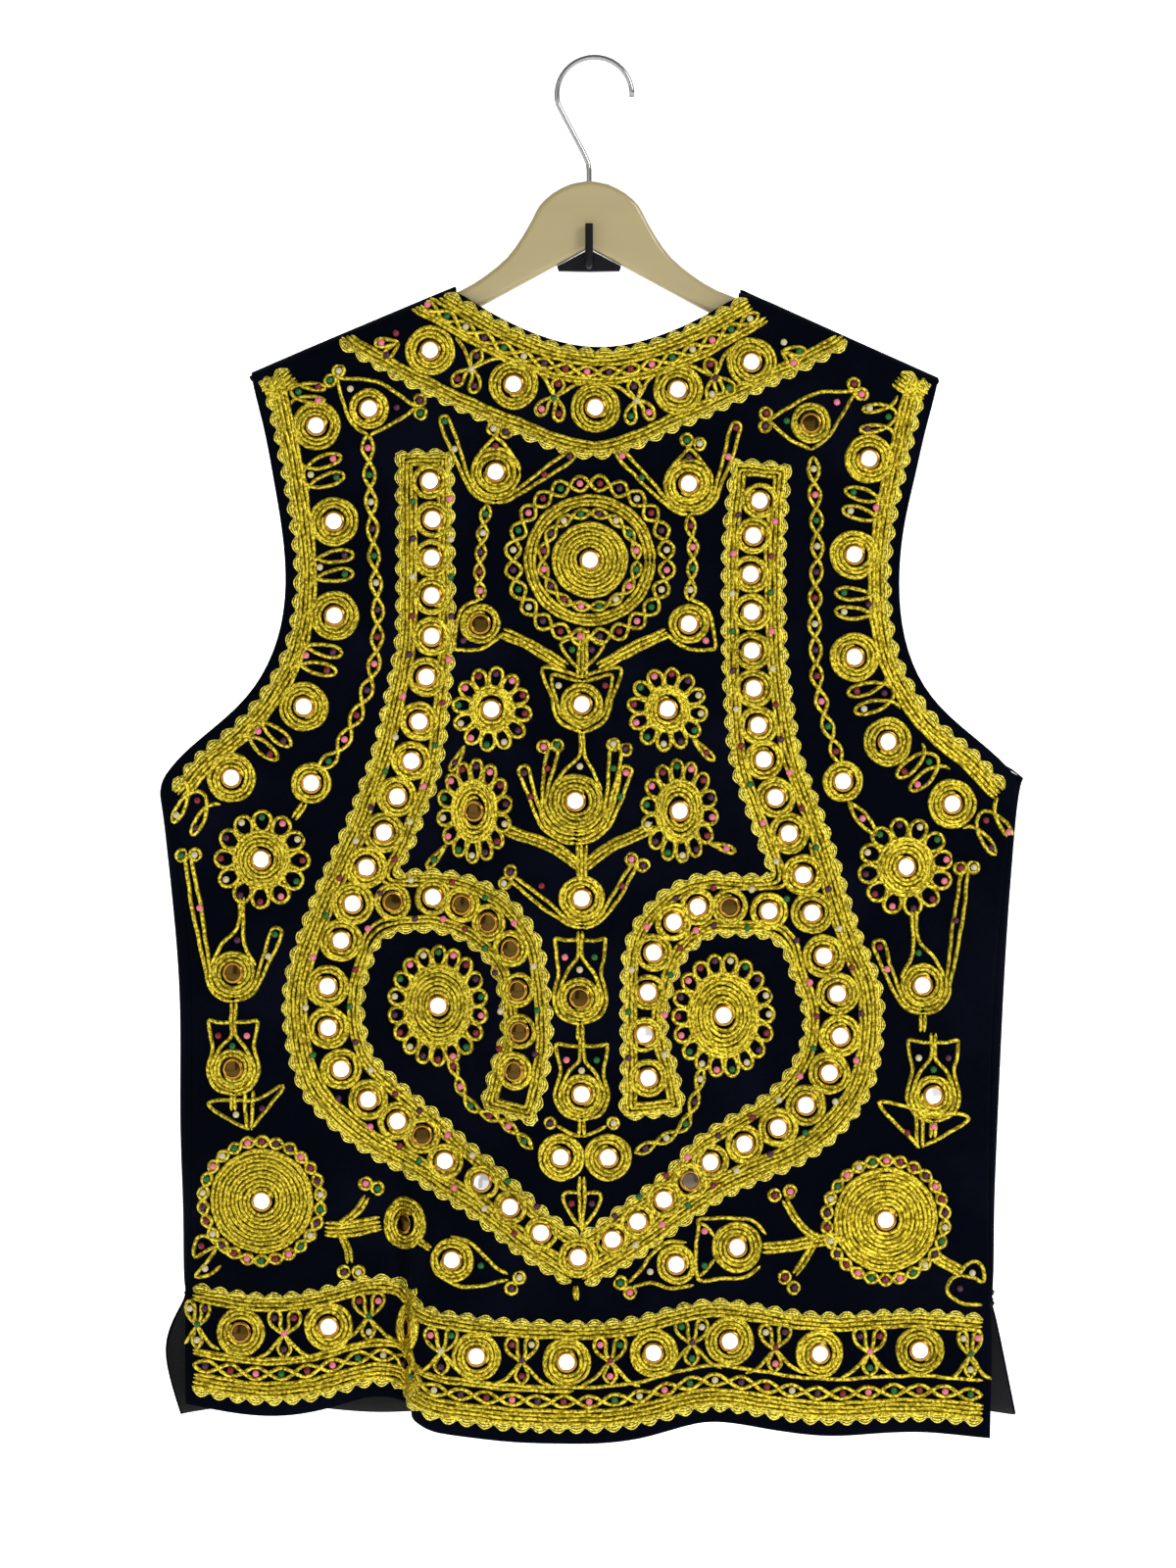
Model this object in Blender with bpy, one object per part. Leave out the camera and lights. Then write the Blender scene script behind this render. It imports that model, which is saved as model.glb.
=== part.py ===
"""An embroidered velvet waistcoat hanging on a wooden hanger, seen from its back.

The origin is where a rail would touch the hanger's hook, +Z is up, the garment's back faces -Y and its
wearer's left is at -X. Cloth panels are thin walls whose outlines are Coons patches between four edges.
Their depth comes from a flattened tube with folds. What is sewn on a panel is cut from a layer just
outside it.
"""

import math

import bpy
import numpy as np

MM = 0.001

# Cloth
CLOTH = 1.8 * MM  # velvet, backing and lining together
SEAM_GAP = 0.4 * MM
TRIM_GAP = 0.4 * MM
TRIM = 1.2 * MM

# The hanging form
SHOULDER_SLOPE = 0.435  # drop of the shoulder seam for each unit across
SHOULDER_HEIGHT = -92.5 * MM  # where the two seam lines would meet over the centre
SHOULDER_ROUND = 9.5 * MM  # how tightly the cloth turns over the hanger
BELLY = 19 * MM  # how far the cloth stands off below that
BELLY_DROP = 190 * MM
ARMPIT = -404 * MM
SLIT_TOP = -690 * MM
LEAST_DEPTH = 0.25 * MM  # half the gap at the shoulder seam
FLARE = 0.5  # how fast the virtual side line leaves the armhole above the armpit

# Rows of the cloth from hem to shoulder: below the slit, along the side seam, up the armhole
FREE_ROWS, SEAM_ROWS = 4, 11
HOLE_RISE = [0.09, 0.19, 0.3, 0.42, 0.54, 0.66, 0.77, 0.87, 0.94, 0.975, 0.99, 0.9965, 1.0]
ROWS = [*[0.12 * i / FREE_ROWS for i in range(FREE_ROWS)],
        *[0.12 + 0.44 * i / (SEAM_ROWS - 1) for i in range(SEAM_ROWS)], *[0.56 + 0.44 * t for t in HOLE_RISE]]

# Edges of the back, as (x, z) in millimetres, from the hem up to the shoulder tip
SIDE_LEFT = [(-225, -750), (-225, -704), (-224, -684), (-221.5, -666), (-221.5, -520), (-225, -475),
             (-230, -447), (-235.5, -421), (-240.5, -404)]
SIDE_RIGHT = [(223.5, -769), (224.5, -715), (224, -693), (223, -666), (223.5, -570), (226.5, -513),
              (231, -458), (236, -425), (240, -402)]
ARMHOLE_LEFT = [(-240.5, -404), (-238, -396), (-213.5, -377), (-188, -355), (-174.5, -333), (-168, -300),
                (-170, -268), (-174, -246), (-180, -211), (-185, -192), (-188.5, -177)]
ARMHOLE_RIGHT = [(240, -402), (238, -396), (212, -377), (188, -355), (176.5, -333), (172, -300),
                 (173.5, -268), (179, -246), (186, -213), (191, -195), (195, -178.5)]
SILHOUETTE_LEFT = [(-404, 241.5), (-440, 236.5), (-490, 231), (-540, 228.5), (-600, 228.5), (-684, 227),
                   (-717, 240.5), (-755, 230)]
SILHOUETTE_RIGHT = [(-404, 241.5), (-440, 238), (-490, 233.5), (-540, 230.5), (-600, 228.5), (-684, 226.5),
                    (-720, 233), (-762, 241)]
HEM = [(-225, -750), (-182, -757), (-149, -753.5), (-127, -746), (-105.5, -747), (-101, -749),
       (-96.5, -761), (-91, -763.5), (-62, -767.5), (-40, -770), (4, -771), (26, -769), (47.5, -762),
       (69, -757.5), (102, -763), (135, -767.5), (178, -764.5), (223.5, -769)]
NECK_LEFT, NECK_RIGHT = -75 * MM, 86 * MM
NECK_LOW = (6 * MM, -160 * MM)

# Front
FRONT_OPENING = 3 * MM  # from the centre line to each front edge
FRONT_NECK_DEPTH = -362 * MM
FRONT_HEM = [(3, -756), (60, -754), (120, -757), (180, -752), (241, -757)]
FRONT_ARMHOLE_INSET = 9 * MM

# Folds: (x at its top, x at its foot, top z, z where it is full, z where it starts to fade, z where it
# is gone, width to the left, width to the right, height), in millimetres; a valley has a negative height
BACK_FOLDS = [
    (-14, -8, -330, -420, -600, -690, 25, 75, 11),
    (-84, -68, -330, -420, -590, -680, 65, 25, -12),
    (-103, -104, -585, -735, -900, -950, 48, 9, -19),
    (-91, -87, -600, -735, -900, -950, 8, 60, 8),
    (60, 64, -430, -500, -560, -640, 13, 55, -6),
    (70, 70, -600, -700, -900, -950, 40, 45, 7),
    (-198, -196, -600, -700, -900, -950, 24, 30, -7),
    (150, 165, -480, -640, -900, -950, 35, 40, -5),
    (-120, -135, -230, -330, -420, -560, 60, 60, 4),
    (118, 128, -230, -330, -420, -560, 50, 60, 4),
]
FRONT_FOLDS = [
    (95, 120, -260, -500, -900, -950, 30, 42, -9),
    (62, 60, -420, -620, -900, -950, 25, 30, 6),
    (165, 180, -420, -600, -900, -950, 30, 30, 6),
]

# Trims, in millimetres
NECK_BRAID = dict(offset=7, width=10)
YOKE_LINE = [(-141, -157), (-94, -184), (-45, -207), (4, -222), (52, -204), (96, -185), (144, -160)]
YOKE_WIDTH = 13
ARMHOLE_BRAID = dict(offset=11.5, width=12.5)
TEARDROP_LEFT = [  # x, z and the band's width there
    (-91.5, -226, 30), (-91, -279, 31), (-91, -322, 32), (-94, -345, 33), (-101, -391, 36), (-116, -432, 37),
    (-133, -472, 39), (-145, -517, 41), (-146, -541, 41), (-139, -565, 38), (-125, -582, 35), (-95, -603, 32),
    (-61, -628, 30), (-30, -654, 28)]
TEARDROP_RIGHT = [
    (95, -232, 30), (92, -267, 31), (92, -330, 33), (96, -372, 35), (106, -412, 37), (121, -455, 38),
    (132, -500, 39), (140, -521, 41), (141, -545, 41), (135, -567, 38), (122, -585, 36), (106, -597, 34),
    (68, -617, 31), (28, -649, 28)]
CURL_LEFT = [(-98, -469), (-82, -470), (-62, -477), (-46, -496), (-40, -520), (-39, -545), (-41, -577)]
CURL_RIGHT = [(97, -471), (80, -472), (60, -474), (42, -488), (34, -508), (31, -540), (33, -578)]
CURL_WIDTH = 31
HEM_BRAIDS = [(64, 12), (12.5, 13)]  # height above the hem line and width
MEDALLIONS = {  # centre and radius
    "sun_medallion": (0.5, -281, 46), "upper_flower_left": (-51, -364, 19), "upper_flower_right": (43.5, -364, 21),
    "lower_flower_left": (-60, -421, 21), "lower_flower_right": (50, -421, 22),
    "curl_flower_left": (-84, -529, 25), "curl_flower_right": (74.5, -534, 24),
    "side_flower_left": (-182, -448, 28), "side_flower_right": (176, -452, 28),
    "wheel_left": (-182, -638, 39), "wheel_right": (165, -648, 39),
}
DISC_SIDES = 24
FRONT_BRAID = 13
FRONT_HEM_HEIGHTS = [66, 13]

# Hanger
BAR_THICK = 11 * MM
BAR_UNDER_SEAM = 5.5 * MM
BAR_TIP = 172 * MM
BAR_HEIGHT = 17 * MM
BAR_ROUND = 3.5 * MM
HUB = [(0, -67.5), (10.5, -69.3), (20.7, -74.6), (27.8, -81.5), (31.8, -89), (37.5, -99), (46, -110.5),
       (58, -120.5), (72, -129)]
NOTCH = (0, -105.3)
NOTCH_FOOT = (64, -140)
WIRE = 1.6 * MM
HOOK_RADIUS = 21 * MM
HOOK_CENTRE_X = 3 * MM
HOOK_NECK = (-3 * MM, -52 * MM)
SOCKET_DEPTH = 14 * MM
INSERT = [(0, -106), (18, -115.5), (17, -118.3), (0, -118.6)]
INSERT_DEPTH = 9 * MM
PEG_RADIUS = 2.2 * MM

COLOURS = {  # base colour, roughness, metallic
    "velvet": ((0.006, 0.007, 0.014, 1), 0.85, 0.0),
    "gold": ((0.62, 0.50, 0.10, 1), 0.45, 0.7),
    "wood": ((0.72, 0.62, 0.42, 1), 0.45, 0.0),
    "steel": ((0.75, 0.75, 0.74, 1), 0.2, 1.0),
    "plastic": ((0.012, 0.012, 0.015, 1), 0.4, 0.0),
}


def smooth(t):
    """0 below 0, 1 above 1, with a soft start and end."""
    t = np.clip(t, 0, 1)
    return t * t * (3 - 2 * t)


def spline(points, step_count):
    """A Catmull-Rom curve through the points, with step_count points on each stretch."""
    p = np.array(points, float)
    p = np.vstack([2 * p[0] - p[1], p, 2 * p[-1] - p[-2]])
    t = np.linspace(0, 1, step_count, endpoint=False)[:, None]
    runs = []
    for a, b, c, d in zip(p[:-3], p[1:-2], p[2:-1], p[3:]):
        bend = (2 * a - 5 * b + 4 * c - d) * t**2 + (3 * b - a - 3 * c + d) * t**3
        runs.append(0.5 * (2 * b + (c - a) * t + bend))
    return np.vstack([*runs, p[-2:-1]])


def reader(points, step_count=12):
    """A function of the first coordinate that follows a smooth curve through (first, second), in metres."""
    curve = spline(np.array(sorted(points)) * MM, step_count)
    return lambda u: np.interp(u, curve[:, 0], curve[:, 1])


def along(points, count, step_count=16):
    """count points evenly spaced along a smooth curve, in metres; a third number at each point follows along."""
    curve = spline(np.array(points) * MM, step_count)
    steps = np.linalg.norm(np.diff(curve[:, :2], axis=0), axis=1)
    run = np.concatenate([[0], np.cumsum(steps)])
    at = np.linspace(0, run[-1], count)
    return np.stack([np.interp(at, run, column) for column in curve.T], axis=1)


silhouettes = (reader(SILHOUETTE_LEFT), reader(SILHOUETTE_RIGHT))
hem_line = reader(HEM)


def side_line(x, z):
    """How far the flattened tube reaches sideways at height z, on the side where x lies."""
    body = np.where(x < 0, silhouettes[0](z), silhouettes[1](z))
    return body + FLARE * np.maximum(z - ARMPIT, 0)


def below_seam(x, z):
    """How far (x, z) lies below the line of the shoulder seam."""
    return SHOULDER_HEIGHT - SHOULDER_SLOPE * np.abs(x - 5 * MM * (1 - smooth(np.abs(x) / 0.2))) - z


def folds(x, z, table):
    """The sum of soft ridges and valleys, each a bell across a line that runs down the cloth."""
    total = np.zeros(np.broadcast(x, z).shape)
    for x_top, x_foot, z_top, z_full, z_fade, z_gone, left, right, height in np.array(table) * MM:
        centre = x_top + (x_foot - x_top) * smooth((z_top - z) / (z_top - z_fade))
        width = np.where(x < centre, left, right)
        strength = smooth((z_top - z) / (z_top - z_full)) * (1 - smooth((z_fade - z) / (z_fade - z_gone)))
        total = total + height * strength * np.exp(-(((x - centre) / width) ** 2))
    return total


def squared_depth(x, z, table):
    """The square of the distance from the middle plane; past the seam or the side it goes below 0."""
    drop = below_seam(x, z)
    turn = np.where(drop < SHOULDER_ROUND, (2 * SHOULDER_ROUND - drop) * drop, SHOULDER_ROUND**2)
    belly = BELLY * (1 - np.exp(-np.maximum(drop - SHOULDER_ROUND, 0) / BELLY_DROP))
    rest = belly + folds(x, z, table)
    body = turn + 2 * np.sqrt(np.maximum(turn, 0)) * rest + rest**2
    return body * (1 - (x / side_line(x, z)) ** 4)


def depth(x, z, table):
    """How far the outside of the cloth stands from the garment's middle plane."""
    return np.sqrt(np.maximum(squared_depth(x, z, table), LEAST_DEPTH**2))


def outward(grid, table):
    """Unit normals of the cloth at its points: the slope of y squared less the squared depth."""
    x, y, z = np.moveaxis(grid, -1, 0)
    step = 0.05 * MM
    by_x = squared_depth(x + step, z, table) - squared_depth(x - step, z, table)
    by_z = squared_depth(x, z + step, table) - squared_depth(x, z - step, table)
    slope = np.stack([-by_x / (2 * step), 2 * y, -by_z / (2 * step)], axis=-1)
    return slope / np.linalg.norm(slope, axis=-1, keepdims=True)


def coons(bottom, top, left, right, u, v):
    """The patch between four edges. Each edge is a function of 0 to 1 that gives points."""
    u, v = np.meshgrid(u, v)
    a, b = u[..., None], v[..., None]
    sides = (1 - b) * bottom(u) + b * top(u) + (1 - a) * left(v) + a * right(v)
    corners = (1 - a) * ((1 - b) * bottom(0.0) + b * top(0.0)) + a * ((1 - b) * bottom(1.0) + b * top(1.0))
    return sides - corners


def edge(*runs):
    """A function of 0 to 1 through runs of points laid at the rows of cloth: one point for each row."""
    points = np.vstack(runs)
    return lambda v: np.stack([np.interp(v, ROWS, points[:, k]) for k in range(2)], axis=-1)


def material(name):
    made = bpy.data.materials.get(name)
    if made is None:
        made = bpy.data.materials.new(name)
        made.use_nodes = True
        shader = made.node_tree.nodes["Principled BSDF"]
        colour, roughness, metallic = COLOURS[name]
        shader.inputs["Base Color"].default_value = colour
        shader.inputs["Roughness"].default_value = roughness
        shader.inputs["Metallic"].default_value = metallic
    return made


def add(name, points, faces, finish):
    mesh = bpy.data.meshes.new(name)
    mesh.from_pydata([tuple(p) for p in points], [], [tuple(int(i) for i in f) for f in faces])
    mesh.materials.append(material(finish))
    made = bpy.data.objects.new(name, mesh)
    bpy.context.scene.collection.objects.link(made)
    return made


def wall(name, inner, outer, finish):
    """A closed wall between two grids of points of the same shape; outer is on the side of the normals."""
    rows, columns = outer.shape[:2]
    number = np.arange(rows * columns).reshape(rows, columns)
    a, b, c, d = number[:-1, :-1], number[:-1, 1:], number[1:, 1:], number[1:, :-1]
    halves = np.concatenate([np.stack([a, b, c], axis=-1), np.stack([a, c, d], axis=-1)]).reshape(-1, 3)
    rim = np.concatenate([number[0, :], number[1:, -1], number[-1, -2::-1], number[-2:0:-1, 0]])
    after = np.roll(rim, -1)
    size = rows * columns
    sides = [np.stack([rim, rim + size, after + size], axis=1), np.stack([rim, after + size, after], axis=1)]
    points = np.vstack([outer.reshape(-1, 3), inner.reshape(-1, 3)])
    return add(name, points, np.vstack([halves, halves[:, ::-1] + size, *sides]), finish)


def prism(name, outline, y_from, y_to):
    """A helper solid: an outline in x and z drawn out along y."""
    count = len(outline)
    points = [(x, y, z) for y in (y_from, y_to) for x, z in outline]
    sides = [(i, (i + 1) % count, (i + 1) % count + count, i + count) for i in range(count)]
    twice_area = sum(a[0] * b[1] - b[0] * a[1] for a, b in zip(outline, np.roll(outline, -1, axis=0)))
    faces = [tuple(range(count))[::-1], tuple(range(count, 2 * count)), *sides]
    if (twice_area > 0) == (y_to > y_from):
        faces = [f[::-1] for f in faces]
    return add(name, points, faces, "gold")


def as_helper(thing):
    thing.hide_render = True
    thing.display_type = "WIRE"
    return thing


def ribbon(line, width):
    """The outline of a band of that width along a line of points."""
    direction = np.gradient(line, axis=0)
    direction /= np.linalg.norm(direction, axis=1, keepdims=True)
    side = np.stack([-direction[:, 1], direction[:, 0]], axis=1) * width / 2
    return np.vstack([line + side, (line - side)[::-1]])


def trim(name, outline, layer, facing):
    """What is sewn on: the part of a panel's outer layer that lies inside an outline."""
    made = prism(name, outline, 2 * MM * facing, 90 * MM * facing)
    cut = made.modifiers.new("layer", "BOOLEAN")
    cut.operation = "INTERSECT"
    cut.object = layer
    return made


def grid_panel(name, grid, out, finish):
    """A cloth wall whose outer face is the grid, and a helper layer just outside it for what is sewn on."""
    panel = wall(name, grid - CLOTH * out, grid, finish)
    layer = wall(name + "_layer", grid + TRIM_GAP * out, grid + (TRIM_GAP + TRIM) * out, "gold")
    return panel, as_helper(layer)


def neckline(x):
    """The back neck edge: an arc on each side of its lowest point."""
    low_x, low_z = NECK_LOW
    corner = np.where(x < low_x, NECK_LEFT, NECK_RIGHT)
    corner_z = below_seam(corner, 0.0)
    share = np.clip((x - low_x) / (corner - low_x), 0, 1)
    return low_z + (corner_z - low_z) * share**1.75


def seam_levels(low, high):
    """Heights of the rows along a side seam, closer together towards the armpit."""
    return low + (high - low) * (1 - (1 - np.linspace(0, 1, SEAM_ROWS)) ** 1.5)


def at_heights(line, heights):
    """The x at which a line of points that climbs steadily passes each height."""
    return np.interp(heights, line[:, 1], line[:, 0])


def portions(line, shares):
    """Points along a line at those shares of its length."""
    run = np.concatenate([[0], np.cumsum(np.linalg.norm(np.diff(line, axis=0), axis=1))])
    at = np.array(shares) * run[-1]
    return np.stack([np.interp(at, run, line[:, k]) for k in range(2)], axis=1)


def build_back():
    tip_left, tip_right = np.array(ARMHOLE_LEFT[-1]) * MM, np.array(ARMHOLE_RIGHT[-1]) * MM

    def top(u):
        x = tip_left[0] + u * (tip_right[0] - tip_left[0])
        on_neck = (x > NECK_LEFT) & (x < NECK_RIGHT)
        return np.stack([x, np.where(on_neck, neckline(x), below_seam(x, 0.0))], axis=-1)

    def bottom(u):
        x = (HEM[0][0] + u * (HEM[-1][0] - HEM[0][0])) * MM
        return np.stack([x, hem_line(x)], axis=-1)

    def side_edge(side_points, armhole_points):
        side, armhole = along(side_points, 60), along(armhole_points, 80)
        low = np.linspace(side[0, 1], SLIT_TOP, FREE_ROWS + 1)[:-1]
        heights = np.concatenate([low, seam_levels(SLIT_TOP, side[-1, 1])])
        sewn = np.stack([at_heights(side, heights), heights], axis=1)
        return edge(sewn, portions(armhole, HOLE_RISE))

    neck_at = [(x - tip_left[0]) / (tip_right[0] - tip_left[0]) for x in (NECK_LEFT, NECK_RIGHT)]
    u = np.concatenate([
        [0, 0.02, 0.05, 0.09, 0.135, 0.18, 0.22, 0.248, 0.266, 0.281],
        [neck_at[0], 0.325, 0.36, 0.4, 0.44, 0.48, 0.525, 0.57, 0.615, 0.65, 0.685],
        [neck_at[1], 0.765, 0.81, 0.86, 0.91, 0.95, 0.98, 1],
    ])
    flat = coons(bottom, top, side_edge(SIDE_LEFT, ARMHOLE_LEFT), side_edge(SIDE_RIGHT, ARMHOLE_RIGHT), u,
                 np.array(ROWS))
    x, z = flat[..., 0], flat[..., 1]
    grid = np.stack([x, -depth(x, z, BACK_FOLDS), z], axis=-1)
    return grid_panel("back_panel", grid, outward(grid, BACK_FOLDS), "velvet")


def front_folds(side):
    if side > 0:
        return FRONT_FOLDS
    return [(-top, -foot, *heights, right, left, rise)
            for top, foot, *heights, left, right, rise in FRONT_FOLDS]


def ring(side, z, count=400):
    """The tube's outline at height z from the centre front round one side to the back, and its running length."""
    turn = np.radians(np.linspace(89.99, -40, count))
    x = side * side_line(np.array(side), z) * np.sqrt(np.cos(turn))
    y = np.where(turn > 0, depth(x, z, front_folds(side)), -depth(x, z, BACK_FOLDS))
    run = np.concatenate([[0], np.cumsum(np.hypot(np.diff(x), np.diff(y)))])
    return x, y, run, turn > 0


def around(side, reach, z, in_front=True):
    """The running length from the centre front to where the ring at height z is reach away from the centre."""
    x, _, run, front = ring(side, z)
    part = front if in_front else ~front
    order = np.argsort(side * x[part])
    return np.interp(reach, (side * x[part])[order], run[part][order])


def front_vee(side, count=20):
    """The front neck edge as (distance from the centre, z), from its foot up to the shoulder."""
    neck = abs(NECK_LEFT if side < 0 else NECK_RIGHT)
    neck_z = below_seam(side * neck, 0.0)
    t = np.linspace(0, 1, count)
    return np.stack([FRONT_OPENING + (neck - FRONT_OPENING) * t**0.85,
                     FRONT_NECK_DEPTH + (neck_z - FRONT_NECK_DEPTH) * t], axis=1)


def front_armhole(side, shares):
    """The front armhole edge as (distance from the centre, z), cut a little deeper than the back's."""
    line = portions(along(ARMHOLE_LEFT if side < 0 else ARMHOLE_RIGHT, 80), shares) * [side, 1]
    line[:, 0] -= FRONT_ARMHOLE_INSET * np.sin(np.pi * np.clip(shares, 0, 1)) ** 0.7
    return line


front_hem = reader(FRONT_HEM)


def build_front(side):
    seam = along(SIDE_LEFT if side < 0 else SIDE_RIGHT, 60) * [side, 1]
    armpit = seam[-1, 1]
    free_top = SLIT_TOP - 4 * MM
    free = []
    for z in np.linspace(front_hem(0.24), free_top, FREE_ROWS):
        free.append((around(side, 0.993 * side_line(np.array(side), z), z), z))
    sewn = [(around(side, at_heights(seam, z), z, False) - SEAM_GAP, z) for z in seam_levels(SLIT_TOP, armpit)]
    hole = [(around(side, reach, z), z) for reach, z in front_armhole(side, np.array(HOLE_RISE))]
    outer = edge(np.array(free), np.array(sewn), np.array(hole))

    vee = portions(front_vee(side), HOLE_RISE)
    vee_start = FRONT_NECK_DEPTH
    low = np.linspace(front_hem(FRONT_OPENING), vee_start, FREE_ROWS + SEAM_ROWS)
    inner = edge(np.array([(around(side, FRONT_OPENING, z), z) for z in low]),
                 np.array([(around(side, reach, z), z) for reach, z in vee]))

    def bottom(u):
        length = inner(0.0)[0] + u * (outer(0.0)[0] - inner(0.0)[0])
        return np.stack([length, front_hem(length)], axis=-1)

    neck, tip = front_vee(side)[-1, 0], abs((ARMHOLE_LEFT if side < 0 else ARMHOLE_RIGHT)[-1][0]) * MM

    def top(u):
        reach = neck + np.asarray(u) * (tip - neck)
        z = below_seam(side * reach, 0.0)
        length = [around(side, a, b) for a, b in zip(np.ravel(reach), np.ravel(z))]
        return np.stack([np.reshape(length, np.shape(reach)), z], axis=-1)

    u = np.concatenate([np.linspace(0, 0.84, 9), [0.885, 0.915, 0.935, 0.95, 0.965, 0.982, 1]])
    flat = coons(bottom, top, inner, outer, u, np.array(ROWS))
    grid, table = np.empty(flat.shape[:2] + (3,)), front_folds(side)
    for index in np.ndindex(flat.shape[:2]):
        length, z = flat[index]
        x, y, run, _ = ring(side, z)
        grid[index] = np.interp(length, run, x), np.interp(length, run, y), z
    out = np.where(grid[..., 1:2] > 0, outward(grid, table), outward(grid, BACK_FOLDS))
    if side > 0:
        grid, out = grid[:, ::-1], out[:, ::-1]
    return grid_panel("front_panel_" + side_word(side), grid, out, "velvet")


def side_word(side):
    return "left" if side < 0 else "right"


def beside(line, distance):
    """A line of points moved sideways, to the left of its direction."""
    direction = np.gradient(line, axis=0)
    direction /= np.linalg.norm(direction, axis=1, keepdims=True)
    return line + np.stack([-direction[:, 1], direction[:, 0]], axis=1) * distance


def build_back_trims(layer):
    neck_x = np.linspace(NECK_LEFT + 6 * MM, NECK_RIGHT - 6 * MM, 15)
    neck = np.stack([neck_x, neckline(neck_x) - NECK_BRAID["offset"] * MM], axis=1)
    tear_left, tear_right = along(TEARDROP_LEFT, 26), along(TEARDROP_RIGHT, 26)
    bands = {
        "neck_braid": (neck, NECK_BRAID["width"]),
        "yoke_braid": (along(YOKE_LINE, 17), YOKE_WIDTH),
        "teardrop_band_left": (tear_left[:, :2], tear_left[:, 2:]),
        "teardrop_band_right": (tear_right[:, :2], tear_right[:, 2:]),
        "curl_band_left": (along(CURL_LEFT, 14), CURL_WIDTH),
        "curl_band_right": (along(CURL_RIGHT, 14), CURL_WIDTH),
    }
    for number, (height, width) in enumerate(HEM_BRAIDS):
        x = np.linspace((HEM[0][0] + 2) * MM, (HEM[-1][0] - 2) * MM, 30)
        line = np.stack([x, hem_line(x) + height * MM], axis=1)
        bands["hem_braid_" + ("upper", "lower")[number]] = (line, width)
    for side, points in ((-1, ARMHOLE_LEFT), (1, ARMHOLE_RIGHT)):
        line = beside(along(points, 22), side * ARMHOLE_BRAID["offset"] * MM)[1:-1]
        bands["armhole_braid_" + side_word(side)] = (line, ARMHOLE_BRAID["width"])
    for name, (line, width) in bands.items():
        in_metres = width if np.ndim(width) else width * MM
        trim(name, ribbon(line, in_metres), layer, -1)
    for name, (x, z, radius) in MEDALLIONS.items():
        turn = np.linspace(0, 2 * math.pi, DISC_SIDES, endpoint=False)
        trim(name, np.stack([x + radius * np.cos(turn), z + radius * np.sin(turn)], axis=1) * MM, layer, -1)


def build_front_trims(layer, side):
    word = side_word(side)
    down = np.linspace(front_hem(0.01) + 78 * MM, FRONT_NECK_DEPTH - 8 * MM, 5)
    edge_line = np.vstack([np.stack([0 * down + FRONT_OPENING, down], axis=1), front_vee(side, 10)])
    edge_line = beside(edge_line, -15 * MM)[:-1]
    hole_line = beside(front_armhole(side, np.linspace(0.04, 0.96, 17)), 18 * MM)
    bands = {"front_edge_braid_" + word: edge_line, "front_armhole_braid_" + word: hole_line}
    for number, height in enumerate(FRONT_HEM_HEIGHTS):
        x = np.linspace(6, 231, 14) * MM
        name = "front_hem_braid_" + ("upper_", "lower_")[number] + word
        bands[name] = np.stack([x, front_hem(x) + height * MM], axis=1)
    for name, line in bands.items():
        trim(name, ribbon(line * [side, 1], FRONT_BRAID * MM), layer, 1)


def tube(name, path, radius, sides, finish):
    """A round bar along a path that lies in a plane of constant x or y, with flat ends."""
    path = np.asarray(path, float)
    forward = np.gradient(path, axis=0)
    forward /= np.linalg.norm(forward, axis=1, keepdims=True)
    across = np.array([0.0, 1.0, 0.0]) if np.ptp(path[:, 1]) < 1e-9 else np.array([1.0, 0.0, 0.0])
    other = np.cross(forward, across)
    turn = np.linspace(0, 2 * math.pi, sides, endpoint=False)
    sideways, upward = np.cos(turn)[None, :, None] * across, np.sin(turn)[None, :, None] * other[:, None]
    rings = path[:, None] + radius * (sideways + upward)
    count = len(path)
    number = np.arange(count * sides).reshape(count, sides)
    after = np.roll(number, -1, axis=1)
    quads = np.stack([number[:-1], after[:-1], after[1:], number[1:]], axis=-1).reshape(-1, 4)
    faces = [*quads, number[0][::-1], number[-1]]
    return add(name, rings.reshape(-1, 3), faces, finish)


def build_hook():
    centre = np.array([HOOK_CENTRE_X, WIRE - HOOK_RADIUS])
    turn = np.radians(np.linspace(-4, 196, 22))
    arc = centre + HOOK_RADIUS * np.stack([np.cos(turn), np.sin(turn)], axis=1)
    straight = [arc[-1] + (np.array(HOOK_NECK) - arc[-1]) * t for t in (0.2, 0.6, 1.0)]
    foot = HUB[0][1] * MM - SOCKET_DEPTH + 2 * MM
    shank = [(-0.6 * MM, HOOK_NECK[1] - 5.5 * MM), (0, HOOK_NECK[1] - 9.5 * MM), (0, foot)]
    flat = np.vstack([arc, straight, shank])
    return tube("hanger_hook", np.stack([flat[:, 0], 0 * flat[:, 0], flat[:, 1]], axis=1), WIRE, 8, "steel")


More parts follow.
